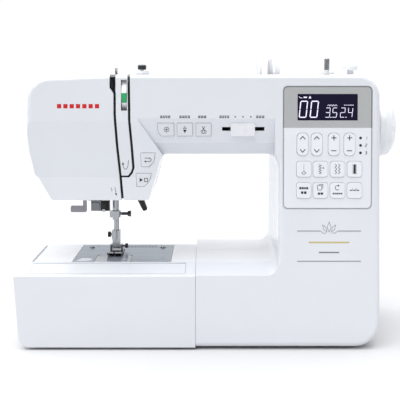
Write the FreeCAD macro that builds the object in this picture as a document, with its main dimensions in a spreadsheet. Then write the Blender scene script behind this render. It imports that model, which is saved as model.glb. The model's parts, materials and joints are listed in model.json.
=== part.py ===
import FreeCAD, Part
import os
import Sketcher

# Computerised household sewing machine, in millimetres.
# X runs along the arm towards the handwheel, Y to the back, Z up.
# The origin is on the table, under the middle of the whole machine.

SIZES = dict(
    # Casing
    wall=2.5, gap=0.3, parting=13.5, seam=0.15,
    base_left=-13.2, base_right=178.6, base_bottom=3, base_round=26,
    body_top=285, column_right=177, top_round=24, edge_round=5, rear_edge_round=3,
    front_bottom=-82, front_top=-62, rear_bottom=82, rear_top=62,
    bed_top=86, bed_crease=-48.5, bed_edge=-77, bed_edge_height=77.5, bed_round=12,
    column_left=72.6, column_left_top=69, column_bend=190, arm_under=202, arm_round=10,
    head_left=-188.3, head_top_left=-186, head_top_left_height=281.5, head_top_start=-97.5,
    head_bottom=153.5, head_bottom_left=-164.4, head_bottom_right=-62.6, head_corner=3,
    head_right_top=-48.5, head_right_round=8,
    # Recessed facets of the arm and the head
    arm_crease=240, arm_facet_bottom=214, arm_facet_depth=-57, arm_under_depth=-50,
    arm_recess_left=-73.8, arm_recess_left_low=-44.8, arm_recess_right=68.7,
    head_crease=237, head_facet_bottom=178, head_facet_depth=-56,
    # Thread slots, lever slot and tension window
    slot_width=2.6, lever_slot_left=-101.7, lever_slot_right=-95.5, lever_slot_bottom=271,
    lever_slot_back=-16, left_slot_top=-96.5, left_slot_mid=-94.6, left_slot_low=-92.1,
    left_slot_end=-89.6, right_slot_top=-82.2, right_slot_crease=-81.5, right_slot_mid=-79.5,
    right_slot_low=-78.3, slot_bend=178.7,
    dial_left=-89.6, dial_right=-84.1, dial_radius=17.6, dial_axis_y=-46.5, dial_axis_z=263.5,
    # Free arm, needle plate and extension table
    free_arm_left=-188, free_arm_front=-49, free_arm_back=43, free_arm_bottom=26,
    plate_left=-145.4, plate_right=-40, plate_front=-48.9, plate_back=39, plate_thick=1.6,
    plate_ledge=6, hook_cover_left=-122, hook_cover_right=-84, hook_cover_back=-16,
    table_left=-202.5, table_left_foot=-196.5, table_round=12, table_top_round=5,
    table_wall=2.6, lid_left=-186, lid_right=-24, lid_thick=2.4,
    lid_pin=0.8, lid_pin_inset=1.6,
    platform_left=-166, platform_top=10, plate_floor=3,
    foot_radius=8, foot_rise=3.2,
    # Needle and presser
    needle_x=-103, needle_y=-10, presser_y=2, bar_radius=3, bar_play=0.06,
    needle_bar_top=268, needle_bar_bottom=125, clamp_bottom=128, clamp_top=135, needle_radius=0.55,
    needle_tip=98, needle_shank=1, presser_bar_bottom=103, presser_bar_top=250,
    holder_top=111, holder_bottom=101, sole_bottom=87, sole_top=88.8, foot_pin_z=92.6,
    foot_pin_radius=1, sole_left=-111, sole_right=-95, sole_front=-27, sole_back=8,
    # Shafts and drive
    shaft_z=227.5, shaft_radius=5, lower_z=46, lower_radius=4, shaft_play=0.05,
    crank_left=-94, crank_right=-88, crank_radius=20, crank_throw=15,
    belt_left=109, belt_right=115, pulley_radius=16, belt_thick=1.6, belt_play=0.3,
    motor_left=20, motor_right=100, motor_y=48, motor_z=50, motor_radius=24,
    motor_belt_left=118, motor_belt_right=125, motor_pulley_radius=7, drive_pulley_radius=22,
    hook_y=-28.7, hook_radius=17.3, hook_bottom=59, hook_top=76, hook_gear_radius=6.2,
    shaft_gear_radius=12.2, bobbin_radius=10.25, bobbin_height=11.7, case_radius=14.4,
    lifter_x=-90, lifter_z=161.5, lifter_hub=4.5,
    wheel_left=181, wheel_right=202.5, wheel_radius=32,
    frame_front=22, frame_back=28, bearing_radius=8,
    # Control panel
    panel_left=77, panel_right=168.5, panel_bottom=147, panel_top=273, panel_round=5,
    panel_proud=0.2, panel_depth=1, lcd_left=91.8, lcd_right=153.5, lcd_bottom=238, lcd_top=265,
    key_proud=1.1, key_play=0.3, key_width=15, key_height=16, pill_width=11.4,
    pill_bottom=202, pill_top=225, pill_axis=213.5, pill_pin=0.6,
    upper_key_z=188, lower_key_z=166.2, flange=0.7,
    flange_start=1.4, flange_end=2.8, key_round=3,
    # Front buttons
    button_bottom=221.6, button_top=235, button_proud=0.9, slider_left=14.2, slider_right=58,
    slider_centre=35.5, slider_length=25, slider_slot_low=227, slider_slot_high=231,
    # Top fittings
    spool_y=6, spool_z=281, spool_radius=22.5, pin_radius=2.6, pin_left=6, pin_right=67,
    stop_left=67, stop_right=78, cap_left=50, cap_right=58, well_left=-6, well_right=82,
    well_radius=27, winder_x=130.8, winder_y=2, winder_top=302.8, winder_radius=3,
    stopper_x=156.9, stopper_radius=7.85, stopper_bottom=290, stopper_top=296,
    guide_x=-71, guide_y=-24, guide_radius=8, guide_top=288.8, guide_cap_top=295.4,
    handle_half=42, handle_front=38, handle_back=58, handle_grip=9, handle_bottom=277.6,
    handle_top=283.4, handle_axis_y=41.5, handle_axis_z=280.5, recess_floor=275,
    handle_pin=1.8, handle_pin_length=4.4, winder_travel=5,
    # Rear and side fittings
    socket_front=34, socket_back=60, socket_bottom=30, socket_top=48, switch_bottom=56,
    switch_top=74, switch_axis=174, switch_pin=1.5, boss_radius=4, screw_radius=1.5,
)

V = FreeCAD.Vector
AXIS = {"X": V(1, 0, 0), "Y": V(0, 1, 0), "Z": V(0, 0, 1)}
TURN = {
    "X": FreeCAD.Rotation(V(0, 1, 0), 90),
    "Y": FreeCAD.Rotation(V(1, 0, 0), -90),
    "Z": FreeCAD.Rotation(),
}
PLANE_NORMAL = {"XZ": "Y", "YZ": "X", "XY": "Z"}
FAR = 400

doc = FreeCAD.newDocument("SewingMachine")
sheet = doc.addObject("Spreadsheet::Sheet", "Sizes")
pieces = {}


class Size:
    """A length and the spreadsheet formula that gives it."""

    def __init__(self, value, formula):
        self.value = value
        self.formula = formula

    def __add__(self, other):
        other = as_size(other)
        return Size(self.value + other.value, f"({self.formula} + {other.formula})")

    def __sub__(self, other):
        other = as_size(other)
        return Size(self.value - other.value, f"({self.formula} - {other.formula})")

    def __mul__(self, other):
        other = as_size(other)
        return Size(self.value * other.value, f"({self.formula} * {other.formula})")

    def __truediv__(self, other):
        other = as_size(other)
        return Size(self.value / other.value, f"({self.formula} / {other.formula})")

    def __radd__(self, other):
        return as_size(other) + self

    def __rsub__(self, other):
        return as_size(other) - self

    def __rmul__(self, other):
        return as_size(other) * self

    def __neg__(self):
        return as_size(0) - self


def as_size(value):
    return value if isinstance(value, Size) else Size(float(value), f"({float(value)})")


class Cells:
    """Every driving dimension, as an attribute bound to its cell of the sheet."""

    def __init__(self, sizes):
        for row, (alias, value) in enumerate(sizes.items(), 1):
            sheet.set(f"A{row}", alias.replace("_", " "))
            sheet.set(f"B{row}", str(value))
            sheet.setAlias(f"B{row}", alias)
            setattr(self, alias, Size(float(value), f"Sizes.{alias}"))
        doc.recompute()


S = Cells(SIZES)


def bind(obj, **values):
    """Bind properties of an object to sizes."""
    for name, value in values.items():
        obj.setExpression(name, as_size(value).formula)


def place(obj, x=0, y=0, z=0, rotation=None):
    """Put an object at a point that follows the sheet."""
    if rotation:
        obj.Placement = FreeCAD.Placement(V(0, 0, 0), rotation)
    for letter, value in zip("xyz", (x, y, z)):
        obj.setExpression(f".Placement.Base.{letter}", as_size(value).formula)
    return obj


def box(x, y, z):
    """A block between two limits along each axis."""
    block = doc.addObject("Part::Box", "Block")
    bind(block, Length=as_size(x[1]) - x[0], Width=as_size(y[1]) - y[0], Height=as_size(z[1]) - z[0])
    return place(block, x[0], y[0], z[0])


def rod(axis, radius, start, length):
    """A cylinder along an axis, from its start point."""
    cylinder = doc.addObject("Part::Cylinder", "Rod")
    bind(cylinder, Radius=radius, Height=length)
    return place(cylinder, *start, rotation=TURN[axis])


def cone(axis, near, far, start, length):
    """A cone frustum along an axis, from its start point."""
    frustum = doc.addObject("Part::Cone", "Taper")
    bind(frustum, Radius1=near, Radius2=far, Height=length)
    return place(frustum, *start, rotation=TURN[axis])


def fuse(*parts):
    joined = doc.addObject("Part::MultiFuse", "Joined")
    joined.Shapes = list(parts)
    return joined


def group(*parts):
    bundle = doc.addObject("Part::Compound", "Group")
    bundle.Links = list(parts)
    return bundle


def cut(base, *tools):
    result = doc.addObject("Part::Cut", "Cut")
    result.Base = base
    result.Tool = tools[0] if len(tools) == 1 else fuse(*tools)
    return result


def common(first, second):
    result = doc.addObject("Part::Common", "Common")
    result.Base = first
    result.Tool = second
    return result


def sketch_in(body, plane, points):
    """A closed outline, each corner fixed by dimensions that follow the sheet."""
    sketch = body.newObject("Sketcher::SketchObject", "Outline")
    origin = [f for f in body.Origin.OriginFeatures if f.Role == f"{plane}_Plane"][0]
    sketch.AttachmentSupport = [(origin, "")]
    sketch.MapMode = "FlatFace"
    corners = [V(as_size(u).value, as_size(v).value, 0) for u, v in points]
    for i, corner in enumerate(corners):
        sketch.addGeometry(Part.LineSegment(corner, corners[(i + 1) % len(corners)]), False)
    for i in range(len(corners)):
        sketch.addConstraint(Sketcher.Constraint("Coincident", i, 2, (i + 1) % len(corners), 1))
    for i, (u, v) in enumerate(points):
        for kind, size in (("DistanceX", u), ("DistanceY", v)):
            number = sketch.addConstraint(
                Sketcher.Constraint(kind, -1, 1, i, 1, as_size(size).value))
            sketch.setExpression(f"Constraints[{number}]", as_size(size).formula)
    return sketch


def prism(plane, points, span, rounds=None, drift=0):
    """An outline padded square to its plane between two limits.

    rounds gives the radius of some corners; drift tilts the pad by that much Z per unit Y.
    """
    body = doc.addObject("PartDesign::Body", "Prism")
    sketch = sketch_in(body, plane, points)
    pad = body.newObject("PartDesign::Pad", "Pad")
    pad.Profile = sketch
    bind(pad, Length=as_size(span[1]) - span[0])
    if drift:
        pad.UseCustomVector = True
        pad.Direction = V(0, -1, -drift)
    start = span[1] if plane == "XZ" else span[0]
    place(body, **{PLANE_NORMAL[plane].lower(): start})
    doc.recompute()
    tip = pad
    for corner, radius in (rounds or {}).items():
        u, v = (as_size(w).value for w in points[corner])
        tip = round_corner(body, tip, plane, u, v, radius)
    return body


def round_corner(body, base, plane, u, v, radius):
    """Round the one edge of a pad that starts at a corner of its outline."""
    names = []
    for number, edge in enumerate(base.Shape.Edges, 1):
        ends = [vertex.Point for vertex in edge.Vertexes]
        flat = {"XZ": lambda p: (p.x, p.z, p.y), "YZ": lambda p: (p.y, p.z, p.x),
                "XY": lambda p: (p.x, p.y, p.z)}[plane]
        along = len(ends) == 2 and abs(flat(ends[0])[2] - flat(ends[1])[2]) > 1e-3
        near = any(abs(flat(p)[0] - u) < 1e-4 and abs(flat(p)[1] - v) < 1e-4
                   and abs(flat(p)[2]) < 1e-4 for p in ends)
        if along and near:
            names.append(f"Edge{number}")
    fillet = body.newObject("PartDesign::Fillet", "Round")
    fillet.Base = (base, names[:1])
    bind(fillet, Radius=radius)
    doc.recompute()
    return fillet


def revolved(axis, profile, centre):
    """A profile of (along, radius) points turned about an axis through centre."""
    body = doc.addObject("PartDesign::Body", "Turned")
    plane = {"X": "XZ", "Y": "YZ", "Z": "XZ"}[axis]
    points = [(radius, along) if axis == "Z" else (along, radius) for along, radius in profile]
    sketch = sketch_in(body, plane, points)
    turning = body.newObject("PartDesign::Revolution", "Turning")
    turning.Profile = sketch
    turning.ReferenceAxis = (sketch, ["V_Axis" if axis == "Z" else "H_Axis"])
    turning.Angle = 360
    return place(body, *centre)


def soften(base, radius, chosen):
    """Round the edges of a finished shape that a test picks out."""
    doc.recompute()
    edges = [(i, radius.value, radius.value)
             for i, edge in enumerate(base.Shape.Edges, 1) if chosen(edge)]
    fillet = doc.addObject("Part::Fillet", "Softened")
    fillet.Base = base
    fillet.Edges = edges
    doc.recompute()
    return fillet


def piece(label, obj):
    """Register a finished sub-part under its own name."""
    obj.Label = label
    pieces[label] = obj
    return obj


def around(centre, half):
    return (centre - half, centre + half)


def rectangle(x, z):
    return [(x[0], z[0]), (x[1], z[0]), (x[1], z[1]), (x[0], z[1])]


def grow(points, amount):
    """Move every corner of a convex outline away from its middle."""
    middle = [sum(as_size(p[k]).value for p in points) / len(points) for k in (0, 1)]
    sign = [[1 if as_size(p[k]).value > middle[k] else -1 for k in (0, 1)] for p in points]
    return [(p[0] + s[0] * amount, p[1] + s[1] * amount) for p, s in zip(points, sign)]


class Surface:
    """A flat front surface that leans back: y as a function of z."""

    def __init__(self, low_y, low_z, high_y, high_z):
        self.low_y, self.low_z = as_size(low_y), as_size(low_z)
        self.slope = (as_size(high_y) - low_y) / (as_size(high_z) - low_z)

    def y(self, z):
        return self.low_y + (as_size(z) - self.low_z) * self.slope

    def layer(self, outline, outer, inner, rounds=None):
        """What an outline in X and Z cuts from a layer parallel to the surface."""
        xs = sorted(outline, key=lambda p: as_size(p[0]).value)
        zs = sorted(outline, key=lambda p: as_size(p[1]).value)
        low, high = zs[0][1] - 1, zs[-1][1] + 1
        slab = prism("YZ", [(self.y(low) + outer, low), (self.y(low) + inner, low),
                            (self.y(high) + inner, high), (self.y(high) + outer, high)],
                     (xs[0][0] - 1, xs[-1][0] + 1))
        span = sorted((self.y(low), self.y(high)), key=lambda y: y.value)
        column = prism("XZ", outline, (span[0] + outer - 1, span[1] + inner + 1), rounds)
        return common(column, slab)


front = Surface(S.front_bottom, S.base_bottom, S.front_top, S.body_top)
arm_facet = Surface(S.arm_facet_depth, S.arm_facet_bottom, front.y(S.arm_crease), S.arm_crease)
head_facet = Surface(S.head_facet_depth, S.head_facet_bottom, front.y(S.head_crease), S.head_crease)
bed_slope = (S.bed_top - S.bed_edge_height) / (S.bed_crease - S.bed_edge)


# ---------------------------------------------------------------- casing

def body_outline(w):
    """Front view of base, column, arm and head, set in by w."""
    return [
        (S.base_left + w, S.base_bottom + w), (S.base_right - w, S.base_bottom + w),
        (S.column_right - w, S.body_top - w), (S.head_top_start, S.body_top - w),
        (S.head_top_left + w, S.head_top_left_height - w), (S.head_left + w, 232),
        (-186.2 + w, 205), (-181.7 + w, 181), (-177.8 + w, 177),
        (S.head_bottom_left + w, S.head_bottom + w), (S.head_bottom_right - w, S.head_bottom + w),
        (S.head_right_top - w, S.arm_under + w), (S.column_left_top + w, S.arm_under + w),
        (S.column_left + w, S.column_bend), (S.column_left + w, S.bed_top - w),
        (S.base_left + w, S.bed_top - w),
    ]


def casing_volume(w):
    """The casing as a full solid, set in by w; w of 0 gives the outside."""
    outer = w == 0
    w = as_size(w)
    rounds = {1: S.base_round - w, 2: S.top_round - w, 4: S.top_round - w,
              9: S.head_corner, 10: S.head_corner, 11: S.head_right_round,
              12: S.arm_round, 14: S.bed_round}
    body = prism("XZ", body_outline(w), (-FAR / 4, FAR / 4), rounds)
    side = prism("YZ", [(S.front_bottom + w, S.base_bottom + w), (S.rear_bottom - w, S.base_bottom + w),
                        (S.rear_top - w, S.body_top - w), (S.front_top + w, S.body_top - w)],
                 (-FAR, FAR))
    body = common(body, side)
    if outer:
        body = soften(body, S.edge_round, lambda edge: on_outline(edge, 1))
        body = soften(body, S.rear_edge_round, lambda edge: on_outline(edge, -1))
    slope = prism("XZ", rectangle((S.base_left - 20, S.column_left + w), (S.bed_top - w, S.bed_top + 40)),
                  (S.bed_crease - 60 + w, S.bed_crease + w), {1: S.bed_round}, drift=bed_slope.value)
    arm = common(
        prism("YZ", [(front.y(S.arm_crease) + w, S.arm_crease + w),
                     (S.arm_facet_depth + w, S.arm_facet_bottom), (S.arm_under_depth + w, S.arm_under),
                     (S.arm_under_depth + w, S.arm_under - 10), (-FAR / 2, S.arm_under - 10),
                     (-FAR / 2, S.arm_crease + w)], (-FAR, FAR)),
        prism("XZ", [(S.arm_recess_left - w, S.arm_crease + w), (S.arm_recess_right + w, S.arm_crease + w),
                     (S.arm_recess_right + w, S.arm_under - 5),
                     (S.arm_recess_left_low - w, S.arm_under - 5)], (-FAR / 2, 0)))
    head = prism("YZ", [(front.y(S.head_crease) + w, S.head_crease + w),
                        (S.head_facet_depth + w, S.head_facet_bottom), (S.head_facet_depth + w, 140),
                        (-FAR / 2, 140), (-FAR / 2, S.head_crease + w)],
                 (S.head_left - 20, S.arm_recess_left_low + 5))
    half = S.handle_half + 3 + w
    recess = box((-half, half), (S.handle_front - 2 - w, S.rear_top + 10),
                 (S.recess_floor - w, S.body_top + 5))
    return cut(body, slope, arm, head, recess)


def on_outline(edge, side):
    """Outline edges of the leaning front (side 1) or back (-1), but not the seam to the table."""
    points = [edge.valueAt(edge.FirstParameter + k * (edge.LastParameter - edge.FirstParameter))
              for k in (0, 0.5, 1)]
    offsets = [p.y * side - front.y(p.z).value for p in points]
    seam = all(abs(p.x - S.base_left.value) < 0.1 for p in points)
    floor = all(abs(p.z - S.base_bottom.value) < 0.1 for p in points)
    return all(abs(offset) < 0.01 for offset in offsets) and not seam and not floor


def slot_path(stations, side):
    """One side of a thread slot through its (x, z) stations."""
    return [(x + side * S.slot_width / 2, z) for x, z in stations]


LEFT_SLOT = [(S.left_slot_top, 266), (S.left_slot_top, 245), (S.left_slot_mid, 210),
             (S.left_slot_low, 180), (S.left_slot_end, 148)]
RIGHT_SLOT = [(S.right_slot_top, 300), (S.right_slot_crease, S.head_crease),
              (S.right_slot_mid, 210), (S.right_slot_low, 188)]


def thread_slots():
    """Cutters of the two thread slots and of the slot of the take-up lever."""
    reach = (-FAR / 4, -30)
    left = prism("XZ", slot_path(LEFT_SLOT, 1) + slot_path(LEFT_SLOT[::-1], -1), reach)
    bend = [(S.right_slot_low - 1, 182), (-83, S.slot_bend - 1), (-92, S.slot_bend - 1),
            (-92, S.slot_bend + 1), (-84, S.slot_bend + 1), (S.right_slot_low - 2.6, 184)]
    right = prism("XZ", slot_path(RIGHT_SLOT, 1) + bend + slot_path(RIGHT_SLOT[::-1], -1), reach)
    lever = box((S.lever_slot_left, S.lever_slot_right), (-FAR / 4, S.lever_slot_back),
                (S.lever_slot_bottom, S.body_top + 5))
    joint = prism("XZ", [(S.lever_slot_left, S.lever_slot_bottom + 0.5), (S.left_slot_top - 1, 265),
                         (S.left_slot_top + 1, 265), (S.lever_slot_right, S.lever_slot_bottom + 0.5)],
                  reach)
    window = box((S.dial_left - S.gap, S.dial_right + S.gap), (-FAR / 4, -50), (248, 279.5))
    return [left, right, lever, joint, window]


def face_side(shift):
    """Everything to the left of the line that parts the face cover from the front cover."""
    middle = (S.lever_slot_left + S.lever_slot_right) / 2 + shift
    line = [(x + shift, z) for x, z in LEFT_SLOT]
    return prism("XZ", [(S.head_left - 20, 140), (S.head_left - 20, 300), (middle, 300),
                        (middle, 268)] + line + [(S.left_slot_end + shift, 140)],
                 (-FAR / 4, S.parting - S.seam))


def key_centres():
    """Centres of the two rows of square keys, named by place."""
    for row, z in (("upper", S.upper_key_z), ("lower", S.lower_key_z)):
        for number, x in enumerate((98.3, 115.5, 133, 150.6), 1):
            yield f"{row}_key_{number}", x, z


PILLS = {"pattern_tens_key": 97, "pattern_units_key": 111.5, "width_key": 129.1, "length_key": 145.3}

BUTTONS = {
    "lock_stitch_button": (arm_facet, [(-49.3, S.button_bottom), (-35.7, S.button_bottom),
                                       (-35.7, S.button_top), (-52.5, S.button_top), (-52, 226)]),
    "needle_position_button": (arm_facet, rectangle((-32.2, -16.4), (S.button_bottom, S.button_top))),
    "thread_cutter_button": (arm_facet, rectangle((-12.7, 2.75), (S.button_bottom, S.button_top))),
    "reverse_button": (head_facet, [(-69.8, 189.6), (-62, 189.6), (-57.2, 194.5), (-55.3, 203.7),
                                    (-70.3, 203.7)]),
    "start_stop_button": (head_facet, [(-75.1, 168), (-67, 168), (-62.4, 173.4), (-59.6, 182),
                                       (-75.6, 182)]),
}
BOSSES = {"lower_right": (164, 38), "upper_right": (164, 258), "upper_left": (-62, 271),
          "lower_left": (4, 70)}


def screw_bosses(span, hole):
    """Round posts along Y in which the casing screws sit."""
    posts = [rod("Y", S.boss_radius, (x, span[0], z), as_size(span[1]) - span[0])
             for x, z in BOSSES.values()]
    holes = [rod("Y", hole, (x, -FAR / 4, z), FAR / 2) for x, z in BOSSES.values()]
    return posts, holes


def build_casing():
    outer = casing_volume(0)
    inner = casing_volume(S.wall)
    shell = cut(outer, inner)
    front_half = box((-FAR, FAR), (-FAR / 2, S.parting - S.seam), (-10, FAR))
    rear_half = box((-FAR, FAR), (S.parting + S.seam, FAR / 2), (-10, FAR))
    head_mouth = box((-160, -84), (-45, 30), (145, 160))
    floor_hole = box((-10, 150), (-76, 76), (0, S.base_bottom + S.wall + 1))
    arm_hole = box((S.base_left - 5, S.base_left + 5), (-46, 40), (S.free_arm_bottom + 2.6, 80))
    well_hole = box((S.well_left - S.gap, S.well_right + S.gap),
                    (S.spool_y - 26.7 - S.gap, S.spool_y + 26.7 + S.gap), (270, 300))
    notch = box((S.base_left - 5, -9), (-46 - S.gap, 40 + S.gap), (0, S.base_bottom + 3 + S.gap))
    shared = [head_mouth, floor_hole, arm_hole, well_hole, notch]

    fittings = [
        front.layer(rectangle((S.panel_left - 0.4, S.panel_right + 0.4),
                              (S.panel_bottom - 0.4, S.panel_top + 0.4)),
                    -5, S.panel_depth, {k: S.panel_round for k in range(4)}),
        box((88, 160), (-90, -55), (156, 229)),
        box((S.lcd_left - 1, S.lcd_right + 1), (-90, -50), (S.lcd_bottom - 1, S.lcd_top + 1)),
        box((S.slider_left, S.slider_right), (-80, -40), (S.slider_slot_low, S.slider_slot_high)),
        box((S.winder_x - 4, S.winder_x + S.winder_travel + 4), around(S.winder_y, 4), (275, 295)),
        rod("Z", 3.7 + S.gap, (S.stopper_x, S.winder_y, 275), 20),
        rod("Z", 2.2, (S.guide_x, S.guide_y, 275), 20),
        rod("X", S.shaft_radius + 3, (170, S.needle_y, S.shaft_z), 20),
    ]
    fittings += [prism("XZ", grow(outline, S.key_play), (-80, -40)) for _, outline in BUTTONS.values()]
    posts, _ = screw_bosses((-40, S.parting - S.seam), S.screw_radius)
    front_posts = common(fuse(*posts), front_half)
    front_shell = cut(common(shell, front_half), *shared, *thread_slots())
    face = common(front_shell, face_side(-S.seam))
    piece("face_cover", face)
    body = cut(front_shell, face_side(S.seam), *fittings)
    walls = [box((x - 1, x + 1), (-66, -39), (z - 4, z + 4)) for x, z in BOSSES.values()]
    braces = common(fuse(*walls), casing_volume(S.wall))
    deep = [rod("Y", S.screw_radius, (x, -20, z), 60) for x, z in BOSSES.values()]
    piece("front_cover", cut(fuse(body, front_posts, braces), *deep))

    rear_fittings = [
        box((-99, -40), (46, 60), (140, 178)),
        box((165, 190), (S.socket_front, S.socket_back), (S.socket_bottom, S.socket_top)),
        box((165, 190), (S.socket_front, S.socket_back), (S.switch_bottom, S.switch_top)),
    ]
    rear_fittings += [box((x, x + 3), (60, 90), (20, 50)) for x in range(20, 100, 10)]
    reach = S.handle_half + S.handle_pin_length + S.gap
    rear_fittings += [rod("X", S.handle_pin + 0.08, (-reach, S.handle_axis_y, S.handle_axis_z), reach * 2)]
    posts, holes = screw_bosses((S.parting + S.seam, 90), S.screw_radius + S.seam)
    rear_posts = common(fuse(*posts), outer)
    rear_shell = cut(common(shell, rear_half), *shared, *rear_fittings)
    sinks = [rod("Y", 3.4, (x, 50, z), 60) for x, z in BOSSES.values()]
    piece("rear_cover", cut(fuse(rear_shell, rear_posts), *holes, *sinks))


def build_base():
    plate = box((-10 + S.gap, 150 - S.gap), (-76 + S.gap, 76 - S.gap), (S.plate_floor, S.plate_floor + 3))
    platform = prism("XY", rectangle((S.platform_left, 0), (-46, 40)), (S.plate_floor, S.platform_top),
                     {0: 12, 3: 12})
    hollow = box((S.platform_left + 8, -14), (-40, 34), (S.plate_floor + 3, 20))
    tray = cut(platform, hollow, box((S.base_left - S.gap, 5), (-60, 60), (S.base_bottom + 3, 20)))
    places = [(-150, -30), (-150, 26), (20, -62), (138, -62), (80, 64)]
    sockets = [rod("Z", S.foot_radius + 0.05, (x, y, 0), S.foot_rise) for x, y in places]
    piece("base_plate", cut(fuse(plate, tray), *sockets))
    feet = [cone("Z", S.foot_radius - 1, S.foot_radius, (x, y, 0), S.foot_rise) for x, y in places]
    piece("rubber_feet", group(*feet))


def build_free_arm():
    outer = prism("XZ", rectangle((S.free_arm_left, S.base_left - 0.2), (S.free_arm_bottom, S.bed_top)),
                  (S.free_arm_front, S.free_arm_back), {0: 8, 3: 3})
    inner = prism("XZ", rectangle((S.free_arm_left + S.wall, 0),
                                  (S.free_arm_bottom + S.wall, S.bed_top - 3)),
                  (S.free_arm_front + S.wall, S.free_arm_back - S.wall), {0: 6})
    pocket = box((S.plate_left - S.gap, S.plate_right + S.gap), (S.free_arm_front - 2, S.plate_back + S.gap),
                 (S.bed_top - S.plate_thick, S.bed_top + 5))
    mouth = box((S.plate_left + S.plate_ledge, S.plate_right - S.plate_ledge),
                (S.free_arm_front + S.wall, S.plate_back - S.plate_ledge), (70, 90))
    piece("free_arm_cover", cut(outer, inner, pocket, mouth))

    slab = box((S.plate_left, S.plate_right), (S.plate_front, S.plate_back),
               (S.bed_top - S.plate_thick, S.bed_top))
    needle_slot = box(around(S.needle_x, 3.8), around(S.needle_y, 1.4), (80, 90))
    feed_slots = [box(around(S.needle_x + dx, 1.7), (y0, 15), (80, 90))
                  for dx, y0 in ((-6.5, -18), (6.5, -18), (0, -6.4))]
    cover_hole = box((S.hook_cover_left - S.gap, S.hook_cover_right + S.gap),
                     (S.free_arm_front - 1, S.hook_cover_back + S.gap), (80, 90))
    screw_holes = [rod("Z", 2.1, (x, y, 80), 10) for x, y in ((-134, 26), (-52, 26))]
    piece("needle_plate", cut(slab, needle_slot, cover_hole, *feed_slots, *screw_holes))
    lens = prism("XY", rectangle((S.hook_cover_left, S.hook_cover_right),
                                 (S.plate_front, S.hook_cover_back)),
                 (S.bed_top - S.plate_thick, S.bed_top - 0.1), {2: 4, 3: 4})
    latch = box((-92, -87), (-44, -40), (S.bed_top - 0.2, S.bed_top + 0.4))
    piece("hook_cover_plate", fuse(lens, latch))


def build_table():
    """The extension table that slides on round the free arm, with its accessory store."""
    outline = [(S.table_left_foot, S.base_bottom), (S.base_left - S.gap, S.base_bottom),
               (S.base_left - S.gap, S.bed_top), (S.table_left + 0.6, S.bed_top),
               (S.table_left, S.bed_edge_height)]
    rounds = {0: S.table_round, 3: S.table_top_round - 2}
    crease = S.free_arm_front - S.gap
    profile = [(S.front_bottom, S.base_bottom), (S.free_arm_back, S.base_bottom),
               (S.free_arm_back, S.bed_top), (crease, S.bed_top), (S.bed_edge, S.bed_edge_height)]
    solid = common(prism("XZ", outline, (-FAR / 4, FAR / 4), rounds),
                   prism("YZ", profile, (-FAR, FAR), {4: 2}))
    inside = box((S.free_arm_left - 1, FAR), (crease, FAR / 2), (0, FAR))
    w = S.table_wall
    store = prism("YZ", [(front.y(S.base_bottom) + w, S.base_bottom + w), (crease - w, S.base_bottom + w),
                         (crease - w, 70), (-55, 76), (-55, 90), (-69, 90), (-69, 76),
                         (front.y(70) + w, 70)],
                  (S.lid_left + 4, S.lid_right - 4))
    end_store = box((S.free_arm_left - 8, S.free_arm_left), (-40, S.free_arm_back - w), (14, 79))
    lid_space = lid_solid(S.lid_left - S.gap, S.lid_right + S.gap, S.gap)
    reach = S.lid_right - S.lid_left + 6
    pin_y, pin_z = lid_pin()
    bore = rod("X", S.lid_pin + S.shaft_play, (S.lid_left - 3.3, pin_y, pin_z), reach + 0.6)
    knuckle = rod("X", S.lid_pin_inset + 0.5, (S.lid_left - S.gap, pin_y, pin_z),
                  S.lid_right - S.lid_left + 2 * S.gap)
    piece("extension_table", cut(solid, inside, store, end_store, lid_space, bore, knuckle))
    pin = rod("X", S.lid_pin, (S.lid_left - 3, pin_y, pin_z), reach)
    piece("extension_lid", fuse(lid_solid(S.lid_left, S.lid_right, 0), pin))


def slope_top(y):
    """Height of the sloping front of the bed."""
    return S.bed_top - (S.free_arm_front - S.gap - y) * bed_slope


def lid_pin():
    """Centre of the lid's hinge pin, just inside its back edge."""
    y = S.free_arm_front - S.gap - 2 - S.lid_pin_inset
    return y, slope_top(y) - S.lid_pin_inset


def lid_solid(left, right, play):
    """The lid's layer of the sloping top, widened by play."""
    back = S.free_arm_front - S.gap - 2 + play
    edge = S.bed_edge + 5 - play
    drop = S.lid_thick + 2 * play
    rise = play * 1.5
    rounds = None if play else {3: S.lid_pin_inset}
    return prism("YZ", [(edge, slope_top(edge) + rise), (edge, slope_top(edge) - drop),
                        (back, slope_top(back) - drop), (back, slope_top(back) + rise)],
                 (left, right), rounds)


# ---------------------------------------------------------------- controls

def key_with_flange(surface, outline, proud, rounds):
    """A key cap that stands proud of a surface, and the flange that keeps it in."""
    cap = surface.layer(outline, -proud, S.flange_end, rounds)
    rim = surface.layer(grow(outline, S.flange), S.flange_start, S.flange_end)
    return fuse(cap, rim)


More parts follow.
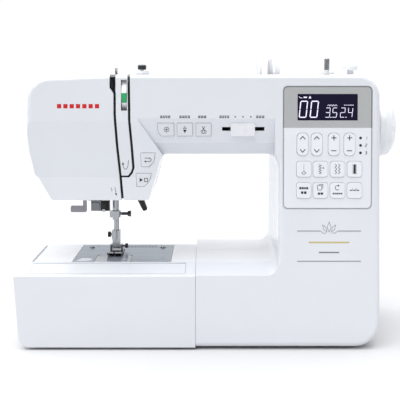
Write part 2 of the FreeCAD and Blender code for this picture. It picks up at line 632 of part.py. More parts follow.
def build_panel():
    corner_rounds = {k: S.panel_round for k in range(4)}
    sheet_layer = front.layer(rectangle((S.panel_left, S.panel_right), (S.panel_bottom, S.panel_top)),
                              -S.panel_proud, S.panel_depth, corner_rounds)
    holes = [prism("XZ", grow(square_outline(x, z), S.key_play), (-90, -50),
                   {k: S.key_round for k in range(4)}) for _, x, z in key_centres()]
    holes += [prism("XZ", grow(pill_outline(x), S.key_play), (-90, -50),
                    {k: S.key_round + 1.5 for k in range(4)}) for x in PILLS.values()]
    lens_hole = box((S.lcd_left - 0.1, S.lcd_right + 0.1), (-90, -50), (S.lcd_bottom - 0.1, S.lcd_top + 0.1))
    screen = rectangle((S.lcd_left, S.lcd_right), (S.lcd_bottom, S.lcd_top))
    piece("control_panel", group(cut(sheet_layer, lens_hole, *holes), front.layer(screen, -0.1, 1.4)))
    for name, x, z in key_centres():
        rounds = {k: S.key_round for k in range(4)}
        piece(name, key_with_flange(front, square_outline(x, z), S.key_proud, rounds))
    for name, x in PILLS.items():
        rounds = {k: S.key_round + 1.5 for k in range(4)}
        cap = front.layer(pill_outline(x), -S.key_proud, S.flange_end, rounds)
        wings = rectangle(around(as_size(x), S.pill_width / 2 + S.flange), around(S.pill_axis, 4.5))
        pivot_y = front.y(S.pill_axis) + (S.flange_start + S.flange_end) / 2
        half = S.pill_width / 2 + S.flange + 0.5
        pivot = rod("X", S.pill_pin, (x - half, pivot_y, S.pill_axis), half * 2)
        piece(name, fuse(cap, front.layer(wings, S.flange_start, S.flange_end), pivot))


def square_outline(x, z):
    return rectangle(around(as_size(x), S.key_width / 2), around(z, S.key_height / 2))


def pill_outline(x):
    return rectangle(around(as_size(x), S.pill_width / 2), (S.pill_bottom, S.pill_top))


def build_buttons():
    for name, (surface, outline) in BUTTONS.items():
        cap = surface.layer(outline, -S.button_proud, 5.6)
        rim = surface.layer(grow(outline, S.flange + 0.2), 4, 5.6)
        piece(name, fuse(cap, rim))
    half = S.slider_length / 2
    knob = arm_facet.layer(rectangle(around(S.slider_centre, half), (S.button_bottom, S.button_top)),
                           -3.4, -0.3, {0: 2, 1: 2, 2: 2, 3: 2})
    stem = arm_facet.layer(rectangle(around(S.slider_centre, 6),
                                     (S.slider_slot_low + 0.4, S.slider_slot_high - 0.4)), -1, 4.5)
    keeper = arm_facet.layer(rectangle(around(S.slider_centre, 7),
                                       (S.button_bottom + 1, S.button_top - 1)), 3.2, 4.5)
    piece("speed_slider", fuse(knob, stem, keeper))
    wheel = revolved("X", [(S.dial_left, 2.6), (S.dial_right, 2.6), (S.dial_right, S.dial_radius - 0.5),
                           (S.dial_right - 0.5, S.dial_radius), (S.dial_left + 0.5, S.dial_radius),
                           (S.dial_left, S.dial_radius - 0.5)], (0, S.dial_axis_y, S.dial_axis_z))
    piece("tension_dial", wheel)


# ---------------------------------------------------------------- needle and presser

def build_needle_bar():
    x, y = S.needle_x, S.needle_y
    bar = rod("Z", S.bar_radius, (x, y, S.needle_bar_bottom), S.needle_bar_top - S.needle_bar_bottom)
    collar = cut(box((-108, -98.2), (-15, -5), (214, 224)), rod("Z", S.bar_radius, (x, y, 200), 40))
    clamp = cut(prism("XY", [(-109, -15.5), (-97, -15.5), (-97, -5), (-109, -5)],
                      (S.clamp_bottom, S.clamp_top), {0: 3, 1: 3}), rod("Z", S.bar_radius, (x, y, 120), 20))
    screw = fuse(rod("X", 1.6, (-97.5, y, 131.6), 10), rod("X", 3, (-89, y, 131.6), 3.5),
                 rod("X", 3.4, (-86.6, y, 131.6), 1.1))
    guide = cut(box((-105.5, -100.5), (-15.2, -13.2), (126, S.clamp_bottom)),
                rod("Z", 0.6, (x, -14.2, 120), 10))
    bar = cut(bar, rod("Z", S.needle_shank, (x, y, 110), 20))
    piece("needle_bar", bar)
    shank = rod("Z", S.needle_shank - 0.01, (x, y, 118), 12)
    blade = cone("Z", 0.4, S.needle_radius, (x, y, S.needle_tip + 5), 15)
    point = cone("Z", 0.08, 0.4, (x, y, S.needle_tip), 5)
    needle = fuse(shank, blade, point)
    link = fuse(rod("X", 4.5, (-98, y, 219), 1.8), rod("X", 4.5, (-98, y, 242.5), 1.8),
                box((-98, -96.2), (-13, -7), (219, 242.5)))
    piece("needle_clamp", group(clamp, screw, guide, needle, fuse(collar, link)))


def build_presser():
    x, y = S.needle_x, S.presser_y
    bar = rod("Z", S.bar_radius, (x, y, S.presser_bar_bottom), S.presser_bar_top - S.presser_bar_bottom)
    block = box((-108, -98.5), (-3, 7), (S.holder_bottom, S.holder_top))
    leg = box((-107.4, -98.6), (-1.2, 5.2), (S.foot_pin_z - 2.2, S.holder_bottom + 1))
    toe = rod("X", 2.6, (-107.4, y, S.foot_pin_z), 8.8)
    bored = cut(fuse(block, leg, toe), rod("Z", S.bar_radius, (x, y, S.presser_bar_bottom), 20),
                rod("X", S.foot_pin_radius + S.shaft_play, (-120, y, S.foot_pin_z), 40))
    knob = fuse(rod("X", 1.6, (-109.4, y, 106), 1.5), rod("X", 3.1, (-112.6, y, 106), 3.3))
    piece("presser_bar", group(bar, bored, knob))
    sole = prism("YZ", [(S.sole_front, S.sole_bottom + 3.4), (S.sole_front + 7, S.sole_bottom),
                        (S.sole_back, S.sole_bottom), (S.sole_back, S.sole_top),
                        (S.sole_front + 7.4, S.sole_top), (S.sole_front + 0.6, S.sole_bottom + 4.8)],
                 (S.sole_left, S.sole_right))
    slot = box(around(S.needle_x, 3.8), around(S.needle_y, 2.2), (80, 95))
    thread_way = box(around(S.needle_x, 0.8), (S.sole_front - 2, S.needle_y), (80, 95))
    cheeks = [box(side, (-1.5, 5.5), (S.sole_top - 0.5, S.foot_pin_z + 2.2))
              for side in ((-110, -108), (-98, -96))]
    pin = rod("X", S.foot_pin_radius, (-110, y, S.foot_pin_z), 14)
    button = fuse(rod("X", 1, (-97, 4, S.foot_pin_z), 4), rod("X", 2.6, (-93.5, 4, S.foot_pin_z), 3))
    piece("presser_foot", fuse(cut(sole, slot, thread_way), *cheeks, pin, button))
    at_x, at_z = S.lifter_x, S.lifter_z
    lever = prism("XZ", [(at_x - 4, at_z - 2), (at_x + 2, at_z + 4), (-80, 150), (-71.2, 126),
                         (-76.4, 124.6), (-84, 140)], (48, 56), {3: 2, 4: 2})
    hub = rod("Y", S.lifter_hub, (at_x, 40, at_z), 18)
    piece("presser_lifter", cut(fuse(lever, hub), rod("Y", 2 + S.shaft_play, (at_x, 35, at_z), 30)))


def build_threader():
    shaft = rod("Z", 2, (-118, -20, 140), 110)
    head = prism("XY", [(-128, -25), (-107.5, -25), (-107.5, -18), (-122, -15), (-128, -15)],
                 (137, 148), {0: 2, 1: 2})
    jaw = box((-116, -111), (-27, -25), (139, 146))
    tab = prism("XZ", [(-147.2, 138.4), (-130.1, 138.4), (-130.1, 160), (-133.9, 160), (-133.9, 145.2),
                       (-147.2, 145.2)], (-42, -39), {0: 1.4, 1: 1.4, 5: 1.4, 4: 1.2})
    bridge = box((-133.9, -116), (-42, -20), (157, 160))
    piece("needle_threader", fuse(shaft, head, jaw, tab, bridge))
    stem = box((-134, -130), (12, 16), (146, 222))
    grip = box((-136, -128), (10.5, 17.5), (143, 149))
    piece("buttonhole_lever", fuse(stem, grip))
    pivot_y, pivot_z = -8, 262
    arm = prism("YZ", [(pivot_y - 3, pivot_z - 5), (pivot_y + 5, pivot_z), (pivot_y, pivot_z + 5),
                       (-27, 281), (-36, 292.6), (-41.5, 293), (-41.5, 288.8), (-31, 275)],
                (-98.2, -96), {4: 1.6, 5: 1.6})
    hub = rod("X", 5.4, (-98.2, pivot_y, pivot_z), 4)
    eye = rod("X", 1, (-100, -39, 290.6), 6)
    bore = rod("X", 2 + S.shaft_play, (-102, pivot_y, pivot_z), 10)
    piece("take_up_lever", cut(fuse(arm, hub), eye, bore))


# ---------------------------------------------------------------- drive

def build_drive():
    y, z = S.needle_y, S.shaft_z
    shaft = rod("X", S.shaft_radius, (S.crank_right, y, z), 192 - S.crank_right)
    disc = rod("X", S.crank_radius, (S.crank_left, y, z), S.crank_right - S.crank_left)
    lighten = rod("X", 6, (S.crank_left - 1, y, z + 8), 4)
    pin = rod("X", 2.5, (S.crank_left - 1.8, y, z + S.crank_throw), 3)
    pulley = rod("X", S.pulley_radius, (S.belt_left - 1, y, z), 8)
    big = rod("X", S.drive_pulley_radius, (S.motor_belt_left - 1, y, z), 9)
    piece("upper_shaft", fuse(shaft, cut(disc, lighten), pin, pulley, big))
    lower = rod("X", S.lower_radius, (-118, y, S.lower_z), 244)
    gear = rod("X", S.shaft_gear_radius, (-109, y, S.lower_z), 12)
    low_pulley = rod("X", S.pulley_radius, (S.belt_left - 1, y, S.lower_z), 8)
    piece("lower_shaft", fuse(lower, gear, low_pulley))
    timing = closed_belt((y, z), S.pulley_radius, (y, S.lower_z), S.pulley_radius,
                         (S.belt_left, S.belt_right))
    can = fuse(rod("X", S.motor_radius, (S.motor_left, S.motor_y, S.motor_z), S.motor_right - S.motor_left),
               rod("X", 9, (S.motor_left - 4, S.motor_y, S.motor_z), 90))
    foot = box((30, 90), (34, 62), (S.plate_floor + 3, 30))
    piece("motor", fuse(can, foot))
    spindle = fuse(rod("X", 3, (S.motor_right + 6 + S.gap, S.motor_y, S.motor_z), 20),
                   rod("X", S.motor_pulley_radius, (S.motor_belt_left - 1, S.motor_y, S.motor_z), 9))
    piece("motor_pulley", spindle)
    drive = closed_belt((S.motor_y, S.motor_z), S.motor_pulley_radius, (y, z), S.drive_pulley_radius,
                        (S.motor_belt_left, S.motor_belt_right))
    piece("drive_belts", group(timing, drive))
    wheel = revolved("X", [
        (S.wheel_left, S.shaft_radius), (S.wheel_left, 12), (S.wheel_left + 3, 14), (S.wheel_left + 3, 27),
        (S.wheel_left, 28), (S.wheel_left, S.wheel_radius - 2), (S.wheel_left + 2, S.wheel_radius),
        (S.wheel_left + 8, S.wheel_radius), (S.wheel_right - 7, S.wheel_radius - 2),
        (S.wheel_right - 2.4, S.wheel_radius - 8), (S.wheel_right, S.wheel_radius - 16),
        (S.wheel_right, 10), (S.wheel_right - 2, 8), (S.wheel_right - 2, 0), (192, 0),
        (192, S.shaft_radius)],
        (0, y, z))
    piece("handwheel", wheel)


def closed_belt(first, first_radius, second, second_radius, span):
    """A flat belt round two pulleys; both are given as (y, z) centres."""
    def loop(extra):
        a = V(span[0].value, first[0].value, first[1].value)
        b = V(span[0].value, second[0].value, second[1].value)
        ra, rb = first_radius.value + extra, second_radius.value + extra
        along = b - a
        reach = along.Length
        along.normalize()
        across = V(0, -along.z, along.y)
        lean = (ra - rb) / reach
        level = (1 - lean * lean) ** 0.5
        up, down = along * lean + across * level, along * lean - across * level
        edges = [Part.Arc(a + up * ra, a - along * ra, a + down * ra).toShape(),
                 Part.LineSegment(a + down * ra, b + down * rb).toShape(),
                 Part.Arc(b + down * rb, b + along * rb, b + up * rb).toShape(),
                 Part.LineSegment(b + up * rb, a + up * ra).toShape()]
        return Part.Face(Part.Wire(edges)).extrude(V(span[1].value - span[0].value, 0, 0))
    play = S.belt_play.value
    belt = doc.addObject("Part::Feature", "Belt")
    belt.Shape = loop(play + S.belt_thick.value).cut(loop(play))
    return belt


def build_hook():
    x, y = S.needle_x, S.hook_y
    cup = cut(rod("Z", S.hook_radius, (x, y, S.hook_bottom), S.hook_top - S.hook_bottom),
              rod("Z", S.case_radius + 1, (x, y, S.hook_bottom + 2.5), 30))
    beak = box((x + 8, x + 30), (y - 30, y - 9), (S.hook_top - 6, S.hook_top + 1))
    stem = rod("Z", 4, (x, y, 36), S.hook_bottom - 35)
    gear = rod("Z", S.hook_gear_radius, (x, y, 41), 10)
    piece("hook_race", fuse(cut(cup, beak), stem, gear))
    case = cut(rod("Z", S.case_radius, (x, y, S.hook_bottom + 3.2), 16),
               rod("Z", S.bobbin_radius + 1.2, (x, y, S.hook_bottom + 5), 30))
    piece("bobbin_case", fuse(case, rod("Z", 1.6, (x, y, S.hook_bottom + 3.2), 8)))
    low = S.hook_bottom + 5.4
    spool = revolved("Z", [(0, 3), (0, S.bobbin_radius), (1.3, S.bobbin_radius), (1.3, 4.2),
                           (S.bobbin_height - 1.3, 4.2), (S.bobbin_height - 1.3, S.bobbin_radius),
                           (S.bobbin_height, S.bobbin_radius), (S.bobbin_height, 3)], (x, y, low))
    piece("bobbin", spool)
    bars = [box(around(S.needle_x + dx, 1.2), (y0, 11), (79, 85.7))
            for dx, y0 in ((-6.5, -14), (6.5, -14), (0, -3.5))]
    bridge = box(around(S.needle_x, 7.7), (-3, 11), (77, 80))
    tail = box(around(S.needle_x, 5), (11, 27), (74, 80))
    piece("feed_dog", fuse(*bars, bridge, tail))


UPPER_BEARINGS = (-72, 55, 148)
LOWER_BEARINGS = (-80, -30)


def build_frame():
    """The cast frame: a plate behind the shafts, with bearing blocks, guides and the arm floor."""
    y0, y1 = S.frame_front, S.frame_back
    plate = prism("XZ", [(10, 6), (157, 6), (157, 252), (-78, 252), (-78, 268), (-126, 268), (-126, 160),
                         (-84, 160), (-84, 208), (130, 208), (130, 24), (10, 24)], (y0, y1),
                  {9: 12, 10: 8, 1: 6, 2: 10})
    arm_floor = box((-172, 10), (-36, 34), (28.7, 31))
    riser = box((10, 16), (0, y1), (6, 31))
    front_foot = box((10, 16), (-30, 20), (24, 31))
    foot = box((20, 150), (y0 - 10, y1), (6, 9))
    ribs = [box((x, x + 4), (4, y0 + 1), (212, 246)) for x in (-20, 20, 90)]
    blocks = [box(around(as_size(x), 6), (S.needle_y - 10, y0 + 1), around(S.shaft_z, 11))
              for x in UPPER_BEARINGS]
    low_blocks = [box(around(as_size(x), 5), around(S.needle_y, 9), (30, S.lower_z + 9))
                  for x in LOWER_BEARINGS]
    guides = [box((-113, -98.6), (-16, y0 + 1), (z, z + 8)) for z in (160, 234)]
    hook_post = box(around(S.needle_x, 7), around(S.hook_y, 7), (30, 38))
    lever_block = box((-90, -84), (-13, y0 + 1), (256, 267))
    lever_pin = rod("X", 2, (-98.6, -8, 262), 9)
    lifter_pin = rod("Y", 2, (S.lifter_x, y1 - 1, S.lifter_z), 30)
    lifter_arm = box((-94, -84), (y0, y1), (155, 175))
    posts = [box((-122, -113.5), (-24, y0 + 1), (z, z + 4)) for z in (176, 214)]
    lever_guide = cut(box((-138, -124), (8, y0 + 2), (190, 194)),
                      box((-134.1, -129.9), (11.9, 16.1), (180, 200)))
    thread_post_bore = rod("Z", 2.1, (-118, -20, 130), 130)
    bobbin_stay = box((-84, -82), (-30, -20), (30, 72))
    dial_pin = fuse(rod("X", 2.5, (S.dial_left - 1, S.dial_axis_y, S.dial_axis_z), 8),
                    box((-83.4, -80), (-49, y0 + 1), (258, 266)))
    solid = fuse(plate, arm_floor, riser, front_foot, foot, *ribs, *blocks, *low_blocks, *guides,
                 hook_post, lever_block, lever_pin, lifter_pin, lifter_arm, *posts, lever_guide,
                 bobbin_stay, dial_pin)
    bores = [rod("X", S.bearing_radius, (x - 7, S.needle_y, S.shaft_z), 14) for x in UPPER_BEARINGS]
    bores += [rod("X", 6, (x - 6, S.needle_y, S.lower_z), 12) for x in LOWER_BEARINGS]
    bores += [rod("Z", S.bar_radius + S.bar_play, (S.needle_x, at, 150), 130)
              for at in (S.needle_y, S.presser_y)]
    bores += [rod("Z", 4 + S.bar_play, (S.needle_x, S.hook_y, 35.5), 10), thread_post_bore]
    piece("main_frame", cut(solid, *bores))
    bushes = [cut(rod("X", S.bearing_radius, (x - 7, S.needle_y, S.shaft_z), 14),
                  rod("X", S.shaft_radius + S.shaft_play, (x - 8, S.needle_y, S.shaft_z), 16))
              for x in UPPER_BEARINGS]
    bushes += [cut(rod("X", 6, (x - 6, S.needle_y, S.lower_z), 12),
                   rod("X", S.lower_radius + S.shaft_play, (x - 7, S.needle_y, S.lower_z), 14))
               for x in LOWER_BEARINGS]
    piece("shaft_bushes", group(*bushes))


def build_electronics():
    board = box((80, 160), (-52, -50.4), (150, 264))
    stubs = [box(around(as_size(x), 3), (-60, -51.5), around(z, 3)) for _, x, z in key_centres()]
    chips = [box((x, x + wide), (-50.5, -48), (z, z + high))
             for x, z, wide, high in ((90, 170, 14, 14), (120, 200, 20, 12), (96, 240, 30, 8))]
    screen = rectangle((S.lcd_left + 1, S.lcd_right - 1), (S.lcd_bottom + 1, S.lcd_top - 1))
    piece("main_board", group(fuse(board, *stubs, *chips), front.layer(screen, 3, 8)))
    across = (S.socket_front + S.gap, S.socket_back - S.gap)
    mains = box((172, 180), (S.socket_front + 3, S.socket_front + 15),
                (S.socket_bottom + 4, S.socket_top - 4))
    jack = rod("X", 3.2, (172, S.socket_back - 6, (S.socket_bottom + S.socket_top) / 2), 10)
    cup = cut(box((168, 178.4), across, (S.socket_bottom + S.gap, S.socket_top - S.gap)), mains, jack)
    middle = (S.socket_front + S.socket_back) / 2
    pin_hole = rod("Z", S.switch_pin + S.shaft_play, (S.switch_axis, middle, S.switch_bottom + 1),
                   S.switch_top - S.switch_bottom - 2)
    frame = cut(box((170, 178.4), across, (S.switch_bottom + S.gap, S.switch_top - S.gap)),
                box((160, 180), around(middle, 9), (S.switch_bottom + 3, S.switch_top - 3)), pin_hole)
    piece("power_socket", group(cup, frame))
    rocker = box((171, 179.6), around(middle, 7.8), (S.switch_bottom + 4, S.switch_top - 4))
    pin = rod("Z", S.switch_pin, (S.switch_axis, middle, S.switch_bottom + 1.2),
              S.switch_top - S.switch_bottom - 2.4)
    piece("power_switch", fuse(rocker, pin))


# ---------------------------------------------------------------- top fittings

def build_top():
    y, z = S.spool_y, S.spool_z
    length = S.well_right - S.well_left
    trough = cut(rod("X", S.well_radius, (S.well_left, y, z), length),
                 rod("X", S.well_radius - S.wall, (S.well_left + S.wall, y, z), length - 2 * S.wall),
                 box((S.well_left - 1, S.well_right + 1), (-60, 60), (S.body_top, 330)))
    piece("spool_well", trough)
    disc = [(S.stop_left, 0), (S.stop_left, S.spool_radius - 3), (S.stop_left + 2, S.spool_radius - 1),
            (S.stop_left + 5, S.spool_radius), (S.stop_right, S.spool_radius - 5), (S.stop_right, 0)]
    stop = fuse(revolved("X", disc, (0, y, z)),
                rod("X", S.pin_radius, (S.pin_left, y, z), S.pin_right - S.pin_left),
                box((S.stop_right - 4, S.well_right - S.wall), (y - 4, y + 4), (z - S.well_radius + 4, z)))
    piece("spool_pin", stop)
    cap = revolved("X", [(S.cap_left, S.pin_radius + 0.08), (S.cap_left, 8), (S.cap_left + 3, 10),
                         (S.cap_left + 4, S.spool_radius - 2), (S.cap_left + 6, S.spool_radius),
                         (S.cap_right, S.spool_radius - 1.5), (S.cap_right, S.pin_radius + 0.08)], (0, y, z))
    piece("spool_cap", cap)
    at = (S.winder_x, S.winder_y)
    spindle = fuse(rod("Z", S.winder_radius, (*at, 262), S.winder_top - 263),
                   cone("Z", S.winder_radius, 1.6, (*at, S.winder_top - 1), 1),
                   rod("Z", 8.5, (*at, S.body_top + 0.4), 1.6), rod("Z", 11, (*at, 266), 5))
    rib = box(around(S.winder_x, 0.4), around(S.winder_y, 3.5), (S.body_top + 2, S.winder_top - 3))
    piece("winder_spindle", fuse(spindle, rib))
    head = revolved("Z", [(270, 0), (270, 3.7), (S.stopper_bottom, 3.7),
                          (S.stopper_bottom, S.stopper_radius),
                          (S.stopper_top - 2, S.stopper_radius), (S.stopper_top, S.stopper_radius - 1.6),
                          (S.stopper_top, 0)],
                    (S.stopper_x, S.winder_y, 0))
    piece("winder_stopper", head)
    disc = revolved("Z", [(276, 0), (276, 2.1), (S.body_top, 2.1), (S.body_top, S.guide_radius - 1),
                          (S.body_top + 1, S.guide_radius), (S.guide_top, S.guide_radius - 0.6),
                          (S.guide_top, 2),
                          (290, 2), (290, 4), (291, 4.6), (S.guide_cap_top - 1, 4.6), (S.guide_cap_top, 3.6),
                          (S.guide_cap_top, 0)], (S.guide_x, S.guide_y, 0))
    piece("winding_thread_guide", disc)
    outer = prism("XY", rectangle((-S.handle_half, S.handle_half), (S.handle_front, S.handle_back)),
                  (S.handle_bottom, S.handle_top), {2: 8, 3: 8})
    inner = prism("XY", rectangle((-S.handle_half + S.handle_grip, S.handle_half - S.handle_grip),
                                  (S.handle_front - 5, S.handle_back - S.handle_grip)),
                  (S.handle_bottom - 1, S.handle_top + 1), {2: 4, 3: 4})
    pins = [rod("X", S.handle_pin, (x, S.handle_axis_y, S.handle_axis_z), S.handle_pin_length)
            for x in (-S.handle_half - S.handle_pin_length, S.handle_half)]
    piece("carrying_handle", fuse(cut(outer, inner), *pins))


def check_and_export():
    """Stop on any failed feature or broken shape, then write one file for each piece."""
    doc.recompute()
    for obj in doc.Objects:
        if "Invalid" in obj.State or "Error" in obj.State:
            raise RuntimeError(f"{obj.Name} ({obj.TypeId}) failed")
    os.makedirs("parts", exist_ok=True)
    for label, obj in pieces.items():
        shape = obj.Shape
        if shape.isNull() or not shape.isValid() or not shape.Solids:
            raise RuntimeError(f"{label} has no valid solid")
        shape.exportStep(f"parts/{label}.step")


build_casing()
build_base()
build_free_arm()
build_table()
build_panel()
build_buttons()
build_needle_bar()
build_presser()
build_threader()
build_drive()
build_hook()
build_frame()
build_electronics()
build_top()
check_and_export()
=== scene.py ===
"""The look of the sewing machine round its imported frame.

Finishes come first, then the printed marks, the small added pieces, the floor, the light and the camera.
Marks and added pieces are given in millimetres of the row frame, and MM turns them into Blender's metres.
The floor's size and the camera's place are in metres."""
import json
import math

import bmesh
import bpy
from mathutils import Matrix, Vector
from mathutils.bvhtree import BVHTree

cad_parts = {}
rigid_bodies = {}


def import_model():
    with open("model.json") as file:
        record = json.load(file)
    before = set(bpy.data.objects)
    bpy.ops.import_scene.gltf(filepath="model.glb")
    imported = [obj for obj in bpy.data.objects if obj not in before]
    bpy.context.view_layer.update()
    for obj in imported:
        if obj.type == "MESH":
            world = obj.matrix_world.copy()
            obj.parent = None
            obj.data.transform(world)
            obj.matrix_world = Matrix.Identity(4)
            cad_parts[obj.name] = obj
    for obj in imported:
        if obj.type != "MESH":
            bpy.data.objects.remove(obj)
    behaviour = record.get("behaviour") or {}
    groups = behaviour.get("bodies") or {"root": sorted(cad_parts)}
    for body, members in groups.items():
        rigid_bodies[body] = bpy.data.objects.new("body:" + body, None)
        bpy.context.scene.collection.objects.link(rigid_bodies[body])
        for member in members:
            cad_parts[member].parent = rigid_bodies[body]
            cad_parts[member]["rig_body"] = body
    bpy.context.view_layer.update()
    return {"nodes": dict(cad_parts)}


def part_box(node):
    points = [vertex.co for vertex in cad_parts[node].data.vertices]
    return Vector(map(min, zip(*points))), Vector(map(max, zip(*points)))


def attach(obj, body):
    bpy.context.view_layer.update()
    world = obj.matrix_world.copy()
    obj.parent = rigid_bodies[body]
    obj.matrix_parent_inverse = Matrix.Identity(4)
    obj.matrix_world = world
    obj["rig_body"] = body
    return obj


MM = 0.001
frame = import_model()
scene = bpy.context.scene

# ---------------------------------------------------------------- finishes

WHITE = (219, 222, 228)
KEY_WHITE = (228, 231, 236)
INK = (30, 31, 35)
BLACK = (22, 22, 24)
STEEL = (164, 166, 170)


def tone(colour, gain=1.0):
    """A linear colour for the shader from display values of 0 to 255."""
    return tuple(gain * (c / 255) ** 2.2 for c in colour) + (1.0,)


class Finish:
    """A node material built round one Principled shader. Object coordinates are metres in the row frame."""

    def __init__(self, name, **settings):
        self.material = bpy.data.materials.new(name)
        self.material.use_nodes = True
        self.tree = self.material.node_tree
        self.shader = self.tree.nodes["Principled BSDF"]
        self.where = self.node("ShaderNodeTexCoord").outputs["Object"]
        for socket, value in settings.items():
            self.shader.inputs[socket.replace("_", " ")].default_value = value

    def node(self, kind, inputs=(), **settings):
        """A new node with its settings, and its inputs fed by sockets or set to values."""
        made = self.tree.nodes.new(kind)
        for key, value in settings.items():
            setattr(made, key, value)
        for key, value in dict(inputs).items():
            if isinstance(value, bpy.types.NodeSocket):
                self.tree.links.new(value, made.inputs[key])
            else:
                made.inputs[key].default_value = value
        return made

    def sums(self, operation, first, second):
        """The result of one arithmetic operation on sockets or numbers."""
        return self.node("ShaderNodeMath", {0: first, 1: second}, operation=operation).outputs[0]

    def noise(self, scale, stretch=(1, 1, 1), detail=3):
        """Noise from 0 to 1, with that many cells to the metre, stretched by axis."""
        spread = self.node("ShaderNodeMapping", {"Vector": self.where, "Scale": stretch})
        made = self.node("ShaderNodeTexNoise",
                         {"Vector": spread.outputs[0], "Scale": scale, "Detail": detail})
        return made.outputs["Fac"]

    def spread(self, value, low, high):
        """A 0 to 1 value carried over to low to high."""
        return self.node("ShaderNodeMapRange", {"Value": value, "From Min": 0.3, "From Max": 0.7,
                                                "To Min": low, "To Max": high}).outputs[0]

    def blend(self, share, first, second):
        """One colour over another by share."""
        mixed = self.node("ShaderNodeMix", {0: share, 6: first, 7: second}, data_type="RGBA")
        return mixed.outputs[2]

    def within(self, **limits):
        """1 where the place is between the limits given in mm for x, y or z, else 0."""
        axes = self.node("ShaderNodeSeparateXYZ", {0: self.where})
        share = None
        for axis, (low, high) in limits.items():
            here = axes.outputs[axis.upper()]
            both = self.sums("MULTIPLY", self.sums("GREATER_THAN", here, low * MM),
                             self.sums("LESS_THAN", here, high * MM))
            share = both if share is None else self.sums("MULTIPLY", share, both)
        return share

    def feed(self, socket, value):
        """Joins a node's output to one of the shader's sockets."""
        self.tree.links.new(value, self.shader.inputs[socket])

    def bump(self, height, depth, strength=1.0):
        """Raises the surface by height times depth in mm."""
        made = self.node("ShaderNodeBump", {"Height": height, "Distance": depth * MM, "Strength": strength})
        self.feed("Normal", made.outputs[0])


def finish(name, colour, rough, mottle=0.02, grain=1500, relief=0.004, stretch=(1, 1, 1), regions=(),
           **settings):
    """A material with slow changes of colour, uneven roughness and a fine grain.

    Each region is (limits, colour, rough, metallic) for a part of the piece in another colour."""
    made = Finish(name, **settings)
    shade = made.noise(14)
    shift = made.spread(shade, 0, 1)
    base = made.blend(shift, tone(colour, 1 - mottle), tone(colour, 1 + mottle))
    rub = made.noise(grain / 12, stretch)
    matte = made.spread(rub, rough * 0.85, rough * 1.15)
    metal = None
    for limits, part_colour, part_rough, part_metal in regions:
        share = made.within(**limits)
        part = made.blend(shift, tone(part_colour, 1 - mottle), tone(part_colour, 1 + mottle))
        base = made.blend(share, base, part)
        part_matte = made.spread(rub, part_rough * 0.85, part_rough * 1.15)
        matte = made.sums("ADD", made.sums("MULTIPLY", share, part_matte),
                          made.sums("MULTIPLY", made.sums("SUBTRACT", 1.0, share), matte))
        before = settings.get("Metallic", 0.0) if metal is None else metal
        metal = made.sums("ADD", made.sums("MULTIPLY", share, part_metal),
                          made.sums("MULTIPLY", made.sums("SUBTRACT", 1.0, share), before))
    made.feed("Base Color", base)
    made.feed("Roughness", matte)
    if metal is not None:
        made.feed("Metallic", metal)
    made.bump(made.noise(grain, stretch), relief)
    return made.material


def brushed(name, colour, rough, along="x", regions=(), **settings):
    """Metal with fine lines drawn along one axis."""
    stretch = tuple(0.02 if axis == along else 1 for axis in "xyz")
    return finish(name, colour, rough, mottle=0.05, grain=2600, relief=0.006, stretch=stretch,
                  regions=regions, Metallic=1.0, **settings)


def casing(name, colour=WHITE, rough=0.2):
    """Glossy moulded plastic with a very slight waviness."""
    return finish(name, colour, rough, mottle=0.012, grain=900, relief=0.002, Coat_Weight=0.25,
                  Coat_Roughness=0.08)


def dress(material, *nodes):
    """Gives a material to CAD nodes."""
    for node in nodes:
        frame["nodes"][node].material_slots[0].material = material


casing_white = casing("casing_white")
dress(casing_white, "front_cover", "rear_cover", "face_cover", "base_plate", "free_arm_cover",
      "extension_table", "extension_lid", "carrying_handle", "spool_well")
dress(casing("wheel_white", (232, 235, 239), 0.28), "handwheel")

keys = [f"{row}_key_{number}" for row in ("upper", "lower") for number in (1, 2, 3, 4)]
pills = ["pattern_tens_key", "pattern_units_key", "width_key", "length_key"]
buttons = ["lock_stitch_button", "needle_position_button", "thread_cutter_button", "reverse_button",
           "start_stop_button"]
dress(finish("key_white", KEY_WHITE, 0.32, mottle=0.01), *keys, *pills)
dress(finish("button_white", (219, 222, 227), 0.3, mottle=0.01), *buttons)
dress(finish("slider_white", (232, 234, 238), 0.3, mottle=0.01), "speed_slider")

BAND_FOOT = 230.3
LCD_LEFT, LCD_RIGHT, LCD_FOOT, LCD_TOP = 91.8, 153.5, 238.0, 265.0
dress(finish("panel_film", (224, 227, 232), 0.34, mottle=0.01, regions=[
    (dict(z=(BAND_FOOT, 300)), (170, 172, 173), 0.38, 0.0),
    (dict(x=(LCD_LEFT, LCD_RIGHT), z=(LCD_FOOT, LCD_TOP)), (20, 14, 44), 0.07, 0.0),
]), "control_panel")

dress(finish("tension_ring", (236, 238, 240), 0.35, regions=[
    (dict(z=(256, 266)), (40, 160, 96), 0.4, 0.0),
]), "tension_dial")

dress(finish("foot_rubber", (44, 44, 46), 0.75, grain=1800, relief=0.03), "rubber_feet")
dress(finish("belt_rubber", (30, 30, 30), 0.7, grain=700, relief=0.05), "drive_belts")
dress(brushed("plate_steel", (146, 155, 167), 0.34), "needle_plate")
dress(brushed("feed_steel", (150, 152, 156), 0.3), "feed_dog")
dress(brushed("hook_steel", (170, 172, 176), 0.25, along="z"), "hook_race")
dress(brushed("bar_steel", STEEL, 0.16, along="z"), "needle_bar")
dress(brushed("winder_steel", (170, 172, 176), 0.22, along="z", regions=[
    (dict(z=(0, 290)), (226, 228, 231), 0.3, 0.0),
]), "winder_spindle")
dress(finish("lever_steel", (196, 198, 203), 0.2, Metallic=0.5), "take_up_lever")
dress(finish("guide_white", (232, 234, 238), 0.3, regions=[
    (dict(z=(290, 294.6)), (46, 47, 51), 0.35, 0.0),
    (dict(z=(294.6, 300)), (122, 124, 129), 0.35, 0.0),
]), "winding_thread_guide")
